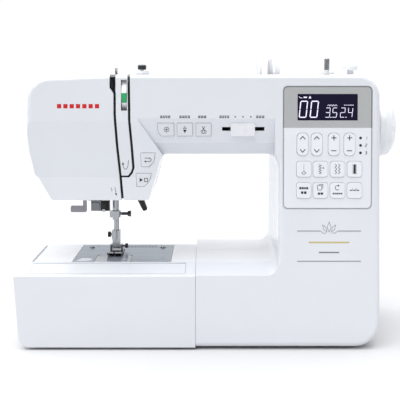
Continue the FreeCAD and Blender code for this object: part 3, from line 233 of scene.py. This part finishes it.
dress(brushed("clamp_steel", STEEL, 0.18, regions=[
    (dict(x=(-96, -80), z=(120, 150)), (78, 80, 84), 0.3, 1.0),
]), "needle_clamp")
dress(brushed("presser_steel", STEEL, 0.18, along="z", regions=[
    (dict(x=(-114, -109.3)), BLACK, 0.4, 0.0),
]), "presser_bar")
dress(brushed("foot_steel", (126, 128, 133), 0.24, regions=[
    (dict(x=(-94.2, -85)), BLACK, 0.4, 0.0),
    (dict(z=(86.2, 88.2)), (58, 60, 64), 0.3, 1.0),
]), "presser_foot")
dress(finish("threader", (150, 150, 156), 0.35, Metallic=0.0, regions=[
    (dict(y=(-36, 0)), (120, 122, 126), 0.25, 1.0),
    (dict(y=(-28, -24), x=(-117, -106)), BLACK, 0.4, 0.0),
]), "needle_threader")
dress(finish("grey_plastic", (150, 152, 158), 0.4), "buttonhole_lever")
dress(finish("black_plastic", BLACK, 0.35, grain=1200, relief=0.01), "presser_lifter", "bobbin_case",
      "power_socket", "power_switch")
dress(brushed("turned_steel", (178, 180, 184), 0.22), "upper_shaft", "lower_shaft")
dress(finish("motor_enamel", (84, 86, 92), 0.4, Metallic=0.6), "motor")
dress(brushed("pulley_steel", (150, 152, 156), 0.3, along="y"), "motor_pulley")
dress(finish("bush_bronze", (176, 140, 92), 0.35, Metallic=1.0), "shaft_bushes")
dress(finish("cast_alloy", (168, 170, 172), 0.55, grain=600, relief=0.05, Metallic=0.9), "main_frame")
dress(finish("board_green", (28, 92, 58), 0.35, grain=300, relief=0.02, mottle=0.2), "main_board")
dress(finish("spool_white", (236, 238, 241), 0.3), "spool_cap")
# The grey band from x 64.5 to 70.5 is painted shade on the spool pin's shaded side; the rest of the pin is
# white.
dress(finish("spool_pin_white", (236, 238, 241), 0.3, regions=[
    (dict(x=(64.5, 70.5)), (186, 189, 195), 0.35, 0.0),
]), "spool_pin")
dress(finish("stopper_white", (236, 238, 241), 0.25), "winder_stopper")
dress(finish("smoked_clear", (206, 212, 220), 0.12, Transmission_Weight=0.75, IOR=1.49), "bobbin")
dress(finish("smoked_plate", (150, 156, 165), 0.16, Transmission_Weight=0.15, IOR=1.49), "hook_cover_plate")

ink = finish("ink_grey", INK, 0.5)
pale_ink = finish("ink_pale", (126, 128, 134), 0.5)
guard_steel = brushed("guard_steel", (118, 120, 124), 0.22)
grip_steel = brushed("grip_steel", (214, 217, 222), 0.3)
# Plain black: the threader clip's own colour, and painted shade on the liners behind the thread slots.
black_and_slot_shade = finish("black_and_slot_shade", (12, 12, 14), 0.6)
black_ink = finish("ink_black", (28, 28, 31), 0.45)
red_ink = finish("ink_red", (196, 22, 34), 0.42)
gold_ink = finish("ink_gold", (196, 180, 128), 0.4)
screw_steel = brushed("screw_steel", (170, 172, 176), 0.25)
display_glow = finish("display_glow", (226, 222, 244), 0.4, Emission_Color=tone((226, 222, 244)),
                      Emission_Strength=0.45)

# ---------------------------------------------------------------- flat shapes, in mm as seen from one side

def mitred(points, width, closed):
    """The two edges of a line of that width through the points."""
    spots = [Vector(p) for p in points]
    count = len(spots)
    left, right = [], []
    for k, spot in enumerate(spots):
        before = spots[k - 1] if closed or k else None
        after = spots[(k + 1) % count] if closed or k < count - 1 else None
        runs = []
        if before:
            runs.append((spot - before).normalized())
        if after:
            runs.append((after - spot).normalized())
        across = sum((Vector((-run.y, run.x)) for run in runs), Vector((0, 0))).normalized()
        reach = width / 2 / max(across.dot(Vector((-runs[0].y, runs[0].x))), 0.4)
        left.append(spot + across * reach)
        right.append(spot - across * reach)
    return left, right


def line(points, width, closed=False):
    """A drawn line: (points, faces)."""
    left, right = mitred(points, width, closed)
    count = len(points)
    runs = count if closed else count - 1
    faces = [(k, (k + 1) % count, (k + 1) % count + count, k + count) for k in range(runs)]
    return left + right, faces


def blob(points):
    """A filled outline."""
    return [Vector(p) for p in points], [tuple(range(len(points)))]


def circle(x, z, radius, steps=28, start=0, turn=360):
    """Points round a circle, or an arc of it when turn is under 360 degrees."""
    whole = turn == 360
    count = steps if whole else steps + 1
    angles = [math.radians(start + turn * k / steps) for k in range(count)]
    return [(x + radius * math.cos(a), z + radius * math.sin(a)) for a in angles]


def dot(x, z, radius):
    """A filled circle."""
    return blob(circle(x, z, radius))


def ring(x, z, radius, width):
    """A circle drawn with a line of that width."""
    return line(circle(x, z, radius), width, closed=True)


def bar(x, z, width, height):
    """A filled rectangle about its middle."""
    return blob([(x - width / 2, z - height / 2), (x + width / 2, z - height / 2),
                 (x + width / 2, z + height / 2), (x - width / 2, z + height / 2)])


def rounded(left, right, foot, top, radius):
    """The outline of a rectangle with round corners."""
    corners = [(right - radius, top - radius, 0), (left + radius, top - radius, 90),
               (left + radius, foot + radius, 180), (right - radius, foot + radius, 270)]
    return [p for x, z, start in corners for p in circle(x, z, radius, 6, start, 90)]


def dashes(x, z, lengths, height, gap=0.7):
    """A row of short bars centred on x, in place of a caption."""
    total = sum(lengths) + gap * (len(lengths) - 1)
    at = x - total / 2
    made = []
    for length in lengths:
        made.append(bar(at + length / 2, z, length, height))
        at += length + gap
    return made


SEGMENTS = {"0": "abcdef", "1": "bc", "2": "abged", "3": "abgcd", "4": "fgbc", "5": "afgcd"}


def digit(name, left, foot, width, height, stroke, slant=0.1):
    """A seven-segment digit that leans to the right."""
    half = height / 2
    corners = {"a": ((0, height), (width, height)), "b": ((width, height), (width, half)),
               "c": ((width, half), (width, 0)), "d": ((0, 0), (width, 0)), "e": ((0, half), (0, 0)),
               "f": ((0, height), (0, half)), "g": ((0, half), (width, half))}
    made = []
    for segment in SEGMENTS[name]:
        start, end = (Vector(c) for c in corners[segment])
        inset = (end - start).normalized() * stroke * 0.35
        run = [start + inset, end - inset]
        made.append(line([(left + p.x + p.y * slant, foot + p.y) for p in run], stroke))
    return made


# ---------------------------------------------------------------- laying shapes on the frame

SIDES = {
    "front": (lambda u, v: Vector((u, -400, v)), Vector((0, 1, 0))),
    "top": (lambda u, v: Vector((u, v, 400)), Vector((0, 0, -1))),
}
trees = {}


def land(node, u, v, side):
    """Where a straight line from that side meets the node, in metres, and the surface's direction there."""
    if node not in trees:
        mesh = frame["nodes"][node].data
        trees[node] = BVHTree.FromPolygons([p.co for p in mesh.vertices],
                                           [f.vertices for f in mesh.polygons])
    start, way = SIDES[side]
    spot, normal, _, _ = trees[node].ray_cast(start(u, v) * MM, way)
    if spot is None:
        raise ValueError(f"nothing of {node} lies under ({u}, {v}) from the {side}")
    if normal.dot(way) > 0:
        normal = -normal
    return spot, normal


def link(name, mesh, material, body):
    """Puts a finished mesh in the scene on a body."""
    mesh.materials.append(material)
    made = bpy.data.objects.new(name, mesh)
    scene.collection.objects.link(made)
    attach(made, body)
    return made


def mark(name, node, shapes, material=ink, side="front", lift=0.07):
    """Thin flat shapes printed on a node, which move with its body."""
    grid = bmesh.new()
    for points, faces in shapes:
        upper, lower = [], []
        for point in points:
            spot, normal = land(node, point[0], point[1], side)
            upper.append(grid.verts.new(spot + normal * lift * MM))
            lower.append(grid.verts.new(spot - normal * 0.05 * MM))
        edges = {}
        for face in faces:
            grid.faces.new([upper[k] for k in face])
            grid.faces.new([lower[k] for k in reversed(face)])
            for a, b in zip(face, face[1:] + face[:1]):
                edges[tuple(sorted((a, b)))] = edges.get(tuple(sorted((a, b))), 0) + 1
        for (a, b), uses in edges.items():
            if uses == 1:
                grid.faces.new((upper[a], upper[b], lower[b], lower[a]))
    bmesh.ops.recalc_face_normals(grid, faces=grid.faces)
    mesh = bpy.data.meshes.new(name)
    grid.to_mesh(mesh)
    grid.free()
    return link(name, mesh, material, frame["nodes"][node]["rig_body"])


def centre(node):
    """The middle of a node as seen from the front, in mm."""
    low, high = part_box(node)
    middle = (low + high) / 2 / MM
    return middle.x, middle.z


# ---------------------------------------------------------------- display

def draw_display():
    """The stitch number, width and length in lit segments, with a few signs above them."""
    big = (7.0, 16.4, 1.05)
    small = (4.3, 9.6, 0.55)
    foot = LCD_FOOT + 3.2
    places = (("0", 93.4, big), ("0", 104.6, big), ("3", 120.2, small), ("5", 127.4, small),
              ("2", 135.6, small), ("4", 143.4, small))
    shapes = []
    for name, left, (width, height, stroke) in places:
        shapes += digit(name, left, foot, width, height, stroke)
    shapes += [dot(126.0, foot, 0.5), dot(141.6, foot, 0.5)]
    mark("display_digits", "control_panel", shapes, display_glow, lift=0.05)
    wave = [(122.5 + k * 1.25, 253.4 + (0.7 if k % 2 else -0.7)) for k in range(9)]
    icons = [line(wave, 0.36)]
    icons += dashes(144.5, 253.6, [1.4] * 5, 0.6, gap=0.7)
    icons += [line([(93.2, 262.4), (94.4, 261.2), (96.6, 261.0)], 0.5), bar(99.6, 261.6, 3.4, 1.3),
              blob([(103.2, 260.6), (105.8, 260.6), (104.5, 263.1)])]
    mark("display_icons", "control_panel", icons, display_glow, lift=0.05)


def draw_panel_lines():
    """The panel's outline, its three lamps and their numbers."""
    low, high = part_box("control_panel")
    left, right = low.x / MM, high.x / MM
    foot, top = low.z / MM, high.z / MM
    edge = 0.55
    outline = rounded(left + edge, right - edge, foot + edge, top - edge, 4.6)
    mark("panel_outline", "control_panel", [line(outline, 0.42, closed=True)], ink)
    leds = [dot(156.7, z, 1.4) for z in (219.9, 212.3, 204.6)]
    mark("panel_lamps", "control_panel", leds, black_ink)
    counts = [shape for name, z in (("1", 218.5), ("2", 210.9), ("3", 203.2))
              for shape in digit(name, 161.4, z, 1.7, 2.9, 0.52)]
    mark("panel_counts", "control_panel", counts, ink)


# ---------------------------------------------------------------- icons on the keys

def chevron(x, z, way):
    """An arrow head that points up for a way of 1 and down for -1."""
    return line([(x - 2.7, z - 1.5 * way), (x, z + 1.5 * way), (x + 2.7, z - 1.5 * way)], 0.85)


def draw_pill_icons():
    """Arrows on the pattern keys, plus and minus on the width and length keys."""
    rise = 6.6
    for name in pills:
        x, z = centre(name)
        if name.startswith("pattern"):
            shapes = [chevron(x, z + rise, 1), chevron(x, z - rise, -1)]
        else:
            shapes = [bar(x, z + rise, 5.2, 0.9), bar(x, z + rise - 1.55, 0.9, 2.2),
                      bar(x, z + rise + 1.55, 0.9, 2.2), bar(x, z - rise, 5.2, 0.9)]
        mark(name + "_icon", name, shapes)


def stitch_icons(x, z):
    """The four stitches on the upper keys: straight, zigzag, overcast and buttonhole."""
    straight = [bar(x, z + 4.4 - k * 1.7, 0.42, 1.1) for k in range(4)]
    diamond = [(x, z - 5.6), (x + 2.3, z - 3.9), (x, z - 2.2), (x - 2.3, z - 3.9)]
    straight.append(line(diamond, 0.5, closed=True))
    zigzag = [line([(x - 0.4 + (1.3 if k % 2 else -1.3), z - 5 + k * 1.25) for k in range(9)], 0.5)]
    zigzag.append(dot(x + 2.9, z + 1.2, 0.75))
    overcast = [line([(x + side + (0.95 if k % 2 else -0.95), z - 5 + k * 1.7) for k in range(7)], 0.5)
                for side in (-1.7, 1.7)]
    buttonhole = [bar(x, z, 2.3, 9.6)]
    buttonhole += [bar(x + side * 1.75, z - 4.8 + k * 1.2, 0.5, 0.6) for side in (-1, 1) for k in range(9)]
    return straight, zigzag, overcast, buttonhole


def arrow_turn(x, z, radius, width):
    """A round arrow that turns back on itself."""
    arc = circle(x, z, radius, 14, 60, 250)
    tip = arc[0]
    return [line(arc, width), blob([(tip[0] + 1.2, tip[1] + 0.2), (tip[0] - 0.7, tip[1] + 1.3),
                                    (tip[0] - 0.5, tip[1] - 1.1)])]


def command_icons(x, z):
    """The four commands on the lower keys, with short bars where a caption would be."""
    words = dashes(x, z + 2.2, [2.1, 1.9, 1.6, 2.0], 2.3, 0.5) + dashes(x, z - 2.4, [2.4, 2.6], 2.5, 0.6)
    cards = [line(rounded(x - 3.1, x + 1.3, z + 0.3, z + 5.1, 0.6), 0.5, closed=True),
             line([(x + 2.5, z + 1.6), (x + 2.5, z + 6.2), (x - 1.7, z + 6.2)], 0.5)]
    cards += dashes(x, z - 3.4, [2.3, 2.5], 2.2, 0.6)
    turned = arrow_turn(x, z + 2.6, 2.3, 0.6) + dashes(x, z - 3.4, [1.6, 1.2, 1.9, 1.4, 1.5], 1.6, 0.5)
    single = dashes(x, z, [2.5, 3.1, 2.6], 1.0, 0.7) + dashes(x, z + 1.4, [1.2, 1.6], 0.6, 2.2)
    return words, cards, turned, single


def draw_key_icons():
    """A sign on each of the eight square keys."""
    for row, icons in (("upper", stitch_icons), ("lower", command_icons)):
        for number in range(4):
            name = f"{row}_key_{number + 1}"
            mark(name + "_icon", name, icons(*centre(name))[number])


def draw_button_icons():
    """A sign on each of the five buttons."""
    x, z = centre("lock_stitch_button")
    mark("lock_icon", "lock_stitch_button", [ring(x + 0.8, z, 2.5, 0.5), dot(x + 0.8, z, 1.0)])
    x, z = centre("needle_position_button")
    mark("needle_icon", "needle_position_button", [
        line([(x - 1.5, z + 1.0), (x, z + 3.2), (x + 1.5, z + 1.0)], 0.45, closed=True),
        blob([(x - 1.9, z - 0.2), (x, z - 3.8), (x + 1.9, z - 0.2)])])
    x, z = centre("thread_cutter_button")
    scissors = [line([(x - side * 1.5, z + 3.4), (x + side * 1.2, z - 1.0)], 0.6) for side in (1, -1)]
    scissors += [ring(x + side * 1.7, z - 1.9, 1.0, 0.5) for side in (-1, 1)]
    mark("cutter_icon", "thread_cutter_button", scissors + [bar(x, z - 4.0, 4.6, 0.5)])
    x, z = centre("reverse_button")
    turn = [(x - 3.6, z + 1.8), (x + 1.4, z + 1.8)]
    turn += circle(x + 1.4, z, 1.8, 10, 90, -180) + [(x - 2.2, z - 1.8)]
    mark("reverse_icon", "reverse_button", [
        line(turn, 0.6), blob([(x - 4.2, z - 1.8), (x - 2.2, z - 3.0), (x - 2.2, z - 0.6)])])
    x, z = centre("start_stop_button")
    square = [(x + 0.8, z - 1.7), (x + 4.0, z - 1.7), (x + 4.0, z + 1.9), (x + 0.8, z + 1.9)]
    mark("start_icon", "start_stop_button", [
        blob([(x - 4.4, z + 2.2), (x - 4.4, z - 2.0), (x - 0.9, z + 0.1)]), line(square, 0.6, closed=True)])


# ---------------------------------------------------------------- marks on the casing

COLUMN_MIDDLE = 124.8


def draw_casing_marks():
    """Bars in place of captions, the stitch badge, the column's rules and ornament, the threading arrows."""
    caption_z = 241.6
    rows = ((-44.5, [2.2, 1.6, 2.3, 2.6]), (-24.4, [2.3, 1.8, 2.6, 2.5]), (-6.4, [2.6, 2.2, 2.4]),
            (16.4, [2.4, 1.7, 2.0, 2.2]), (53.4, [2.5, 2.3, 2.4]))
    shapes = []
    for x, lengths in rows:
        shapes += dashes(x, caption_z + 0.75, lengths, 0.95, 0.6)
        shapes += dashes(x, caption_z - 0.75, lengths[::-1], 0.95, 0.6)
    mark("button_captions", "front_cover", shapes)
    steps = [dot(x, caption_z, 0.75) for x in (27.6, 35.6, 43.7)]
    mark("speed_steps", "front_cover", steps)
    stitches = [bar(-153.6 + k * 6.5, 252.5, 4.4, 4.4) for k in range(7)]
    mark("stitch_badge", "face_cover", stitches, red_ink)
    x = COLUMN_MIDDLE
    rules = [bar(x - 21, 124, 24, 0.9), bar(x + 21, 124, 24, 0.9), bar(x, 92.7, 66, 0.9),
             bar(x, 101.8, 21, 1.5)]
    mark("front_rules", "front_cover", rules, pale_ink)
    mark("name_rule", "front_cover", [bar(x, 112.2, 42, 1.7)], gold_ink)
    leaves = [line([(x, 123), (x + 2.1, 127.6), (x, 133.6), (x - 2.1, 127.6)], 0.55, closed=True)]
    leaves += [line([(x + side * 2.2, 123.2), (x + side * 5.4, 125.2), (x + side * 6.8, 130.4),
                     (x + side * 3.6, 128.2)], 0.55, closed=True) for side in (-1, 1)]
    leaves += [line([(x + side * 2.6, 122.2), (x + side * 5.8, 121.6), (x + side * 8.8, 124)], 0.55)
               for side in (-1, 1)]
    mark("front_ornament", "front_cover", leaves, pale_ink)
    loop = [(-83.2, 196.4), (-84.0, 189.6), (-85.4, 186.8), (-87.6, 186.6), (-88.9, 188.8), (-89.1, 191.8)]
    mark("threading_arrow", "front_cover", [line(loop, 0.5),
                                            blob([(-90.2, 191.4), (-87.9, 191.4), (-89.1, 194.2)])])
    down = [line([(-98.0, 167.4), (-96.9, 160.6)], 0.5),
            blob([(-98.2, 161.0), (-95.8, 160.6), (-96.6, 158.2)]),
            line([(-102.6, 166.8), (-101.0, 164.6), (-101.6, 163.0)], 0.5)]
    mark("lower_arrow", "face_cover", down)


def draw_plate_marks():
    """The seam rulers, the finger grip and the crosses on the needle plate."""
    low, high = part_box("needle_plate")
    left, right = low.x / MM, high.x / MM
    front, back = low.y / MM, high.y / MM
    tick = 0.45
    ruler = []
    for k in range(11):
        short = k % 2 == 1
        ruler.append(bar(right - 20 - k * 4, back - 9 - (1.2 if short else 0), tick, 7.5 if short else 10))
    ruler += [bar(right - 41, back - 5 - k * 4, 42, tick) for k in range(3)]
    mark("plate_rulers", "needle_plate", ruler, ink, side="top", lift=0.03)
    grip = [(left + 3, front + 4), (left + 13, front + 4)]
    grip += circle(left + 13, front + 11, 7, 12, -90, 180) + [(left + 8, front + 18)]
    mark("plate_grip", "needle_plate", [blob(grip)], grip_steel, side="top", lift=0.03)
    cross = [bar(left + 18, back - 6, 5, 0.5), bar(left + 18, back - 6, 0.5, 3.4),
             bar(right - 10, front + 18, 5, 0.5), bar(right - 10, front + 18, 0.5, 3.4)]
    mark("plate_crosses", "needle_plate", cross, ink, side="top", lift=0.03)


# ---------------------------------------------------------------- slabs of plastic and metal

def slab(name, outline, near, far, material, body, bevel=0.25):
    """A flat piece with softened edges: the outline in x and z, in mm, from one y to another.

    near and far are each one y, or a y for each point of the outline."""
    grid = bmesh.new()
    layers = []
    for depth in (near, far):
        depths = depth if isinstance(depth, list) else [depth] * len(outline)
        layers.append([grid.verts.new((x * MM, y * MM, z * MM)) for (x, z), y in zip(outline, depths)])
    count = len(outline)
    grid.faces.new(layers[0])
    grid.faces.new(layers[1][::-1])
    for k in range(count):
        after = (k + 1) % count
        grid.faces.new((layers[0][after], layers[0][k], layers[1][k], layers[1][after]))
    bmesh.ops.recalc_face_normals(grid, faces=grid.faces)
    if bevel:
        bmesh.ops.bevel(grid, geom=list(grid.edges), offset=bevel * MM, segments=2, affect="EDGES",
                        profile=0.6)
    mesh = bpy.data.meshes.new(name)
    grid.to_mesh(mesh)
    grid.free()
    return link(name, mesh, material, body)


def line_slots():
    """Black channels close behind the two thread slots: painted shade, dark sheets that stand in for the
    shadow deep in the slots, so that the casing's inside doesn't show.
    """
    left = [(-96.5, 256), (-96.5, 245), (-94.6, 210), (-92.1, 180), (-90.1, 155)]
    right = [(-81.9, 276), (-81.5, 237), (-79.5, 210), (-78.3, 188), (-83.5, 179.2), (-91.5, 178.7)]
    beside = -104
    width, behind, thick = 4.6, 3.1, 0.6
    for name, path in (("left", left), ("right", right)):
        one, other = mitred(path, width, False)
        near = [land("face_cover", beside, z, "front")[0].y / MM + behind for x, z in path]
        for k in range(len(path) - 1):
            outline = [tuple(one[k]), tuple(one[k + 1]), tuple(other[k + 1]), tuple(other[k])]
            depths = [near[k], near[k + 1], near[k + 1], near[k]]
            slab(f"slot_shade_liner_{name}_{k + 1}", outline, depths, [y + thick for y in depths], black_and_slot_shade,
                 "chassis", bevel=0)


def close_table_gap():
    """The lip that closes the gap between the extension table and the free arm's end."""
    inner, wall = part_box("free_arm_cover")[0].x / MM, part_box("extension_lid")[0].x / MM
    play, foot, top, front, back = 0.3, 82.8, 84.9, -48.5, 42.5
    slab("table_lip", [(wall - play, foot), (inner - play, foot), (inner - play, top), (wall - play, top)],
         front, back, casing_white, "extension_table", bevel=0.2)


def place_threader_parts():
    """The guard, the clip and the hook on the threader's head."""
    body = "needle_threader"
    slab("threader_guard", [(-127, 138.2), (-118.5, 138.2), (-117.4, 141), (-118.5, 146.6), (-127, 146.6)],
         -26.6, -24.9, guard_steel, body)
    slab("threader_clip", [(-110.8, 138), (-107.9, 138), (-107.9, 147.4), (-110.8, 147.4)],
         -26.8, -24.9, black_and_slot_shade, body)
    slab("threader_hook", [(-115.2, 136.6), (-112, 136.6), (-112, 139.6), (-115.2, 139.6)],
         -28.2, -26.9, screw_steel, body, bevel=0.3)


# ---------------------------------------------------------------- screws

def turned(profile, steps=32):
    """A mesh turned about Z from (radius, height) points in mm, closed at both ends."""
    grid = bmesh.new()
    rounds = []
    for radius, height in profile:
        rounds.append([grid.verts.new((radius * math.cos(2 * math.pi * k / steps) * MM,
                                       radius * math.sin(2 * math.pi * k / steps) * MM, height * MM))
                       for k in range(steps)])
    for low, high in zip(rounds, rounds[1:]):
        for k in range(steps):
            grid.faces.new((low[k], low[(k + 1) % steps], high[(k + 1) % steps], high[k]))
    grid.faces.new(rounds[0][::-1])
    grid.faces.new(rounds[-1])
    return grid


def screw(name, spot, way, radius, length, shank, body, blade=2):
    """A round-headed screw whose head stands at the spot in mm and faces way.

    A blade of 1 cuts a slot in the head and 2 cuts a cross."""
    rise = radius * 0.55
    head = [(shank * 0.7, -length), (shank, -length + shank), (shank, 0), (radius * 0.96, 0),
            (radius, rise * 0.25), (radius * 0.9, rise * 0.7), (radius * 0.62, rise * 0.94),
            (radius * 0.3, rise), (radius * 0.05, rise)]
    grid = turned(head)
    mesh = bpy.data.meshes.new(name)
    grid.to_mesh(mesh)
    grid.free()
    tool = bmesh.new()
    for k in range(blade):
        cut = bmesh.ops.create_cube(tool, size=1.0)["verts"]
        bmesh.ops.scale(tool, verts=cut, vec=(radius * 1.3 * MM, radius * 0.26 * MM, rise * MM))
        bmesh.ops.rotate(tool, verts=cut, cent=(0, 0, 0),
                         matrix=Vector((0, 0, 1)).to_track_quat("Z", "Y").to_matrix()
                         @ Matrix.Rotation(math.pi / 2 * k, 3, "Z"))
        bmesh.ops.translate(tool, verts=cut, vec=(0, 0, rise * MM))
    tool_mesh = bpy.data.meshes.new(name + "_tool")
    tool.to_mesh(tool_mesh)
    tool.free()
    made = bpy.data.objects.new(name + "_blank", mesh)
    cutter = bpy.data.objects.new(name + "_cutter", tool_mesh)
    for thing in (made, cutter):
        scene.collection.objects.link(thing)
    recess = made.modifiers.new("recess", "BOOLEAN")
    recess.object = cutter
    recess.solver = "EXACT"
    recess.use_self = True
    bpy.context.view_layer.update()
    done = bpy.data.meshes.new_from_object(made.evaluated_get(bpy.context.evaluated_depsgraph_get()))
    for thing in (made, cutter):
        bpy.data.objects.remove(thing)
    done.transform(Vector(way).to_track_quat("Z", "Y").to_matrix().to_4x4())
    done.transform(Matrix.Translation(Vector(spot) * MM))
    return link(name, done, screw_steel, body)


def place_screws():
    """The casing's screws at the rear and the needle plate's two."""
    seat = 50
    for name, x, z in (("lower_right", 164, 38), ("upper_right", 164, 258), ("upper_left", -62, 271),
                       ("lower_left", 4, 70)):
        screw(f"casing_screw_{name}", (x, seat, z), (0, 1, 0), 3.1, 12, 1.5, "chassis")
    plate_top = 86
    for name, x in (("left", -134), ("right", -52)):
        screw(f"plate_screw_{name}", (x, 26, plate_top), (0, 0, 1), 3.3, 1.4, 1.6, "chassis", blade=1)


# ---------------------------------------------------------------- floor, light and camera

FLOOR_SIZE = 12
SKY_IN_FRONT, SKY_BEHIND = 0.27, 1.03
FOCAL_LENGTH, SENSOR_WIDTH = 74.5, 36
SHIFT_ACROSS, SHIFT_UP = -0.0125, -0.10
CAMERA_SPOT, CAMERA_TILT = (-0.0035, -0.917, 0.285), 5.9
SUN_FROM, SUN_STRENGTH, SUN_SPREAD = (-0.22, -0.27, 1.0), 3.9, 80


def build_stage():
    """A pale floor, and a sky that lights more from behind the machine but looks equally bright all round."""
    bpy.ops.mesh.primitive_plane_add(size=FLOOR_SIZE)
    floor = bpy.context.object
    floor.name = "floor"
    floor.data.materials.append(finish("floor_white", (207, 208, 210), 0.9, mottle=0.004))
    world = bpy.data.worlds.new("studio")
    scene.world = world
    world.use_nodes = True
    nodes, links = world.node_tree.nodes, world.node_tree.links
    sky = nodes["Background"]
    sky.inputs["Color"].default_value = (1, 1, 1, 1)
    way = nodes.new("ShaderNodeTexCoord")
    split = nodes.new("ShaderNodeSeparateXYZ")
    links.new(way.outputs["Generated"], split.inputs[0])
    fall = nodes.new("ShaderNodeMapRange")
    for socket, value in (("From Min", -0.1), ("From Max", 0.35), ("To Min", SKY_IN_FRONT),
                          ("To Max", SKY_BEHIND)):
        fall.inputs[socket].default_value = value
    links.new(split.outputs["Y"], fall.inputs["Value"])
    path = nodes.new("ShaderNodeLightPath")
    strength = nodes.new("ShaderNodeMix")
    links.new(path.outputs["Is Camera Ray"], strength.inputs["Factor"])
    links.new(fall.outputs[0], strength.inputs["A"])
    strength.inputs["B"].default_value = SKY_BEHIND
    links.new(strength.outputs["Result"], sky.inputs["Strength"])


def soft_light(name, source, strength, spread):
    """A broad light that shines from a direction everywhere alike."""
    light = bpy.data.lights.new(name, "SUN")
    light.energy = strength
    light.angle = math.radians(spread)
    made = bpy.data.objects.new(name, light)
    made.rotation_euler = (-Vector(source)).to_track_quat("-Z", "Y").to_euler()
    scene.collection.objects.link(made)


def place_camera():
    """A camera before the machine, near the height of its top, that looks slightly down."""
    lens = bpy.data.cameras.new("camera")
    lens.lens = FOCAL_LENGTH
    lens.sensor_width = SENSOR_WIDTH
    lens.shift_x = SHIFT_ACROSS
    lens.shift_y = SHIFT_UP
    camera = bpy.data.objects.new("camera", lens)
    camera.location = CAMERA_SPOT
    camera.rotation_euler = (math.radians(90 - CAMERA_TILT), 0, 0)
    scene.collection.objects.link(camera)
    scene.camera = camera


draw_display()
draw_panel_lines()
draw_pill_icons()
draw_key_icons()
draw_button_icons()
draw_casing_marks()
draw_plate_marks()
line_slots()
close_table_gap()
place_threader_parts()
place_screws()
build_stage()
soft_light("overhead", SUN_FROM, SUN_STRENGTH, SUN_SPREAD)
place_camera()
scene.view_settings.view_transform = "Standard"
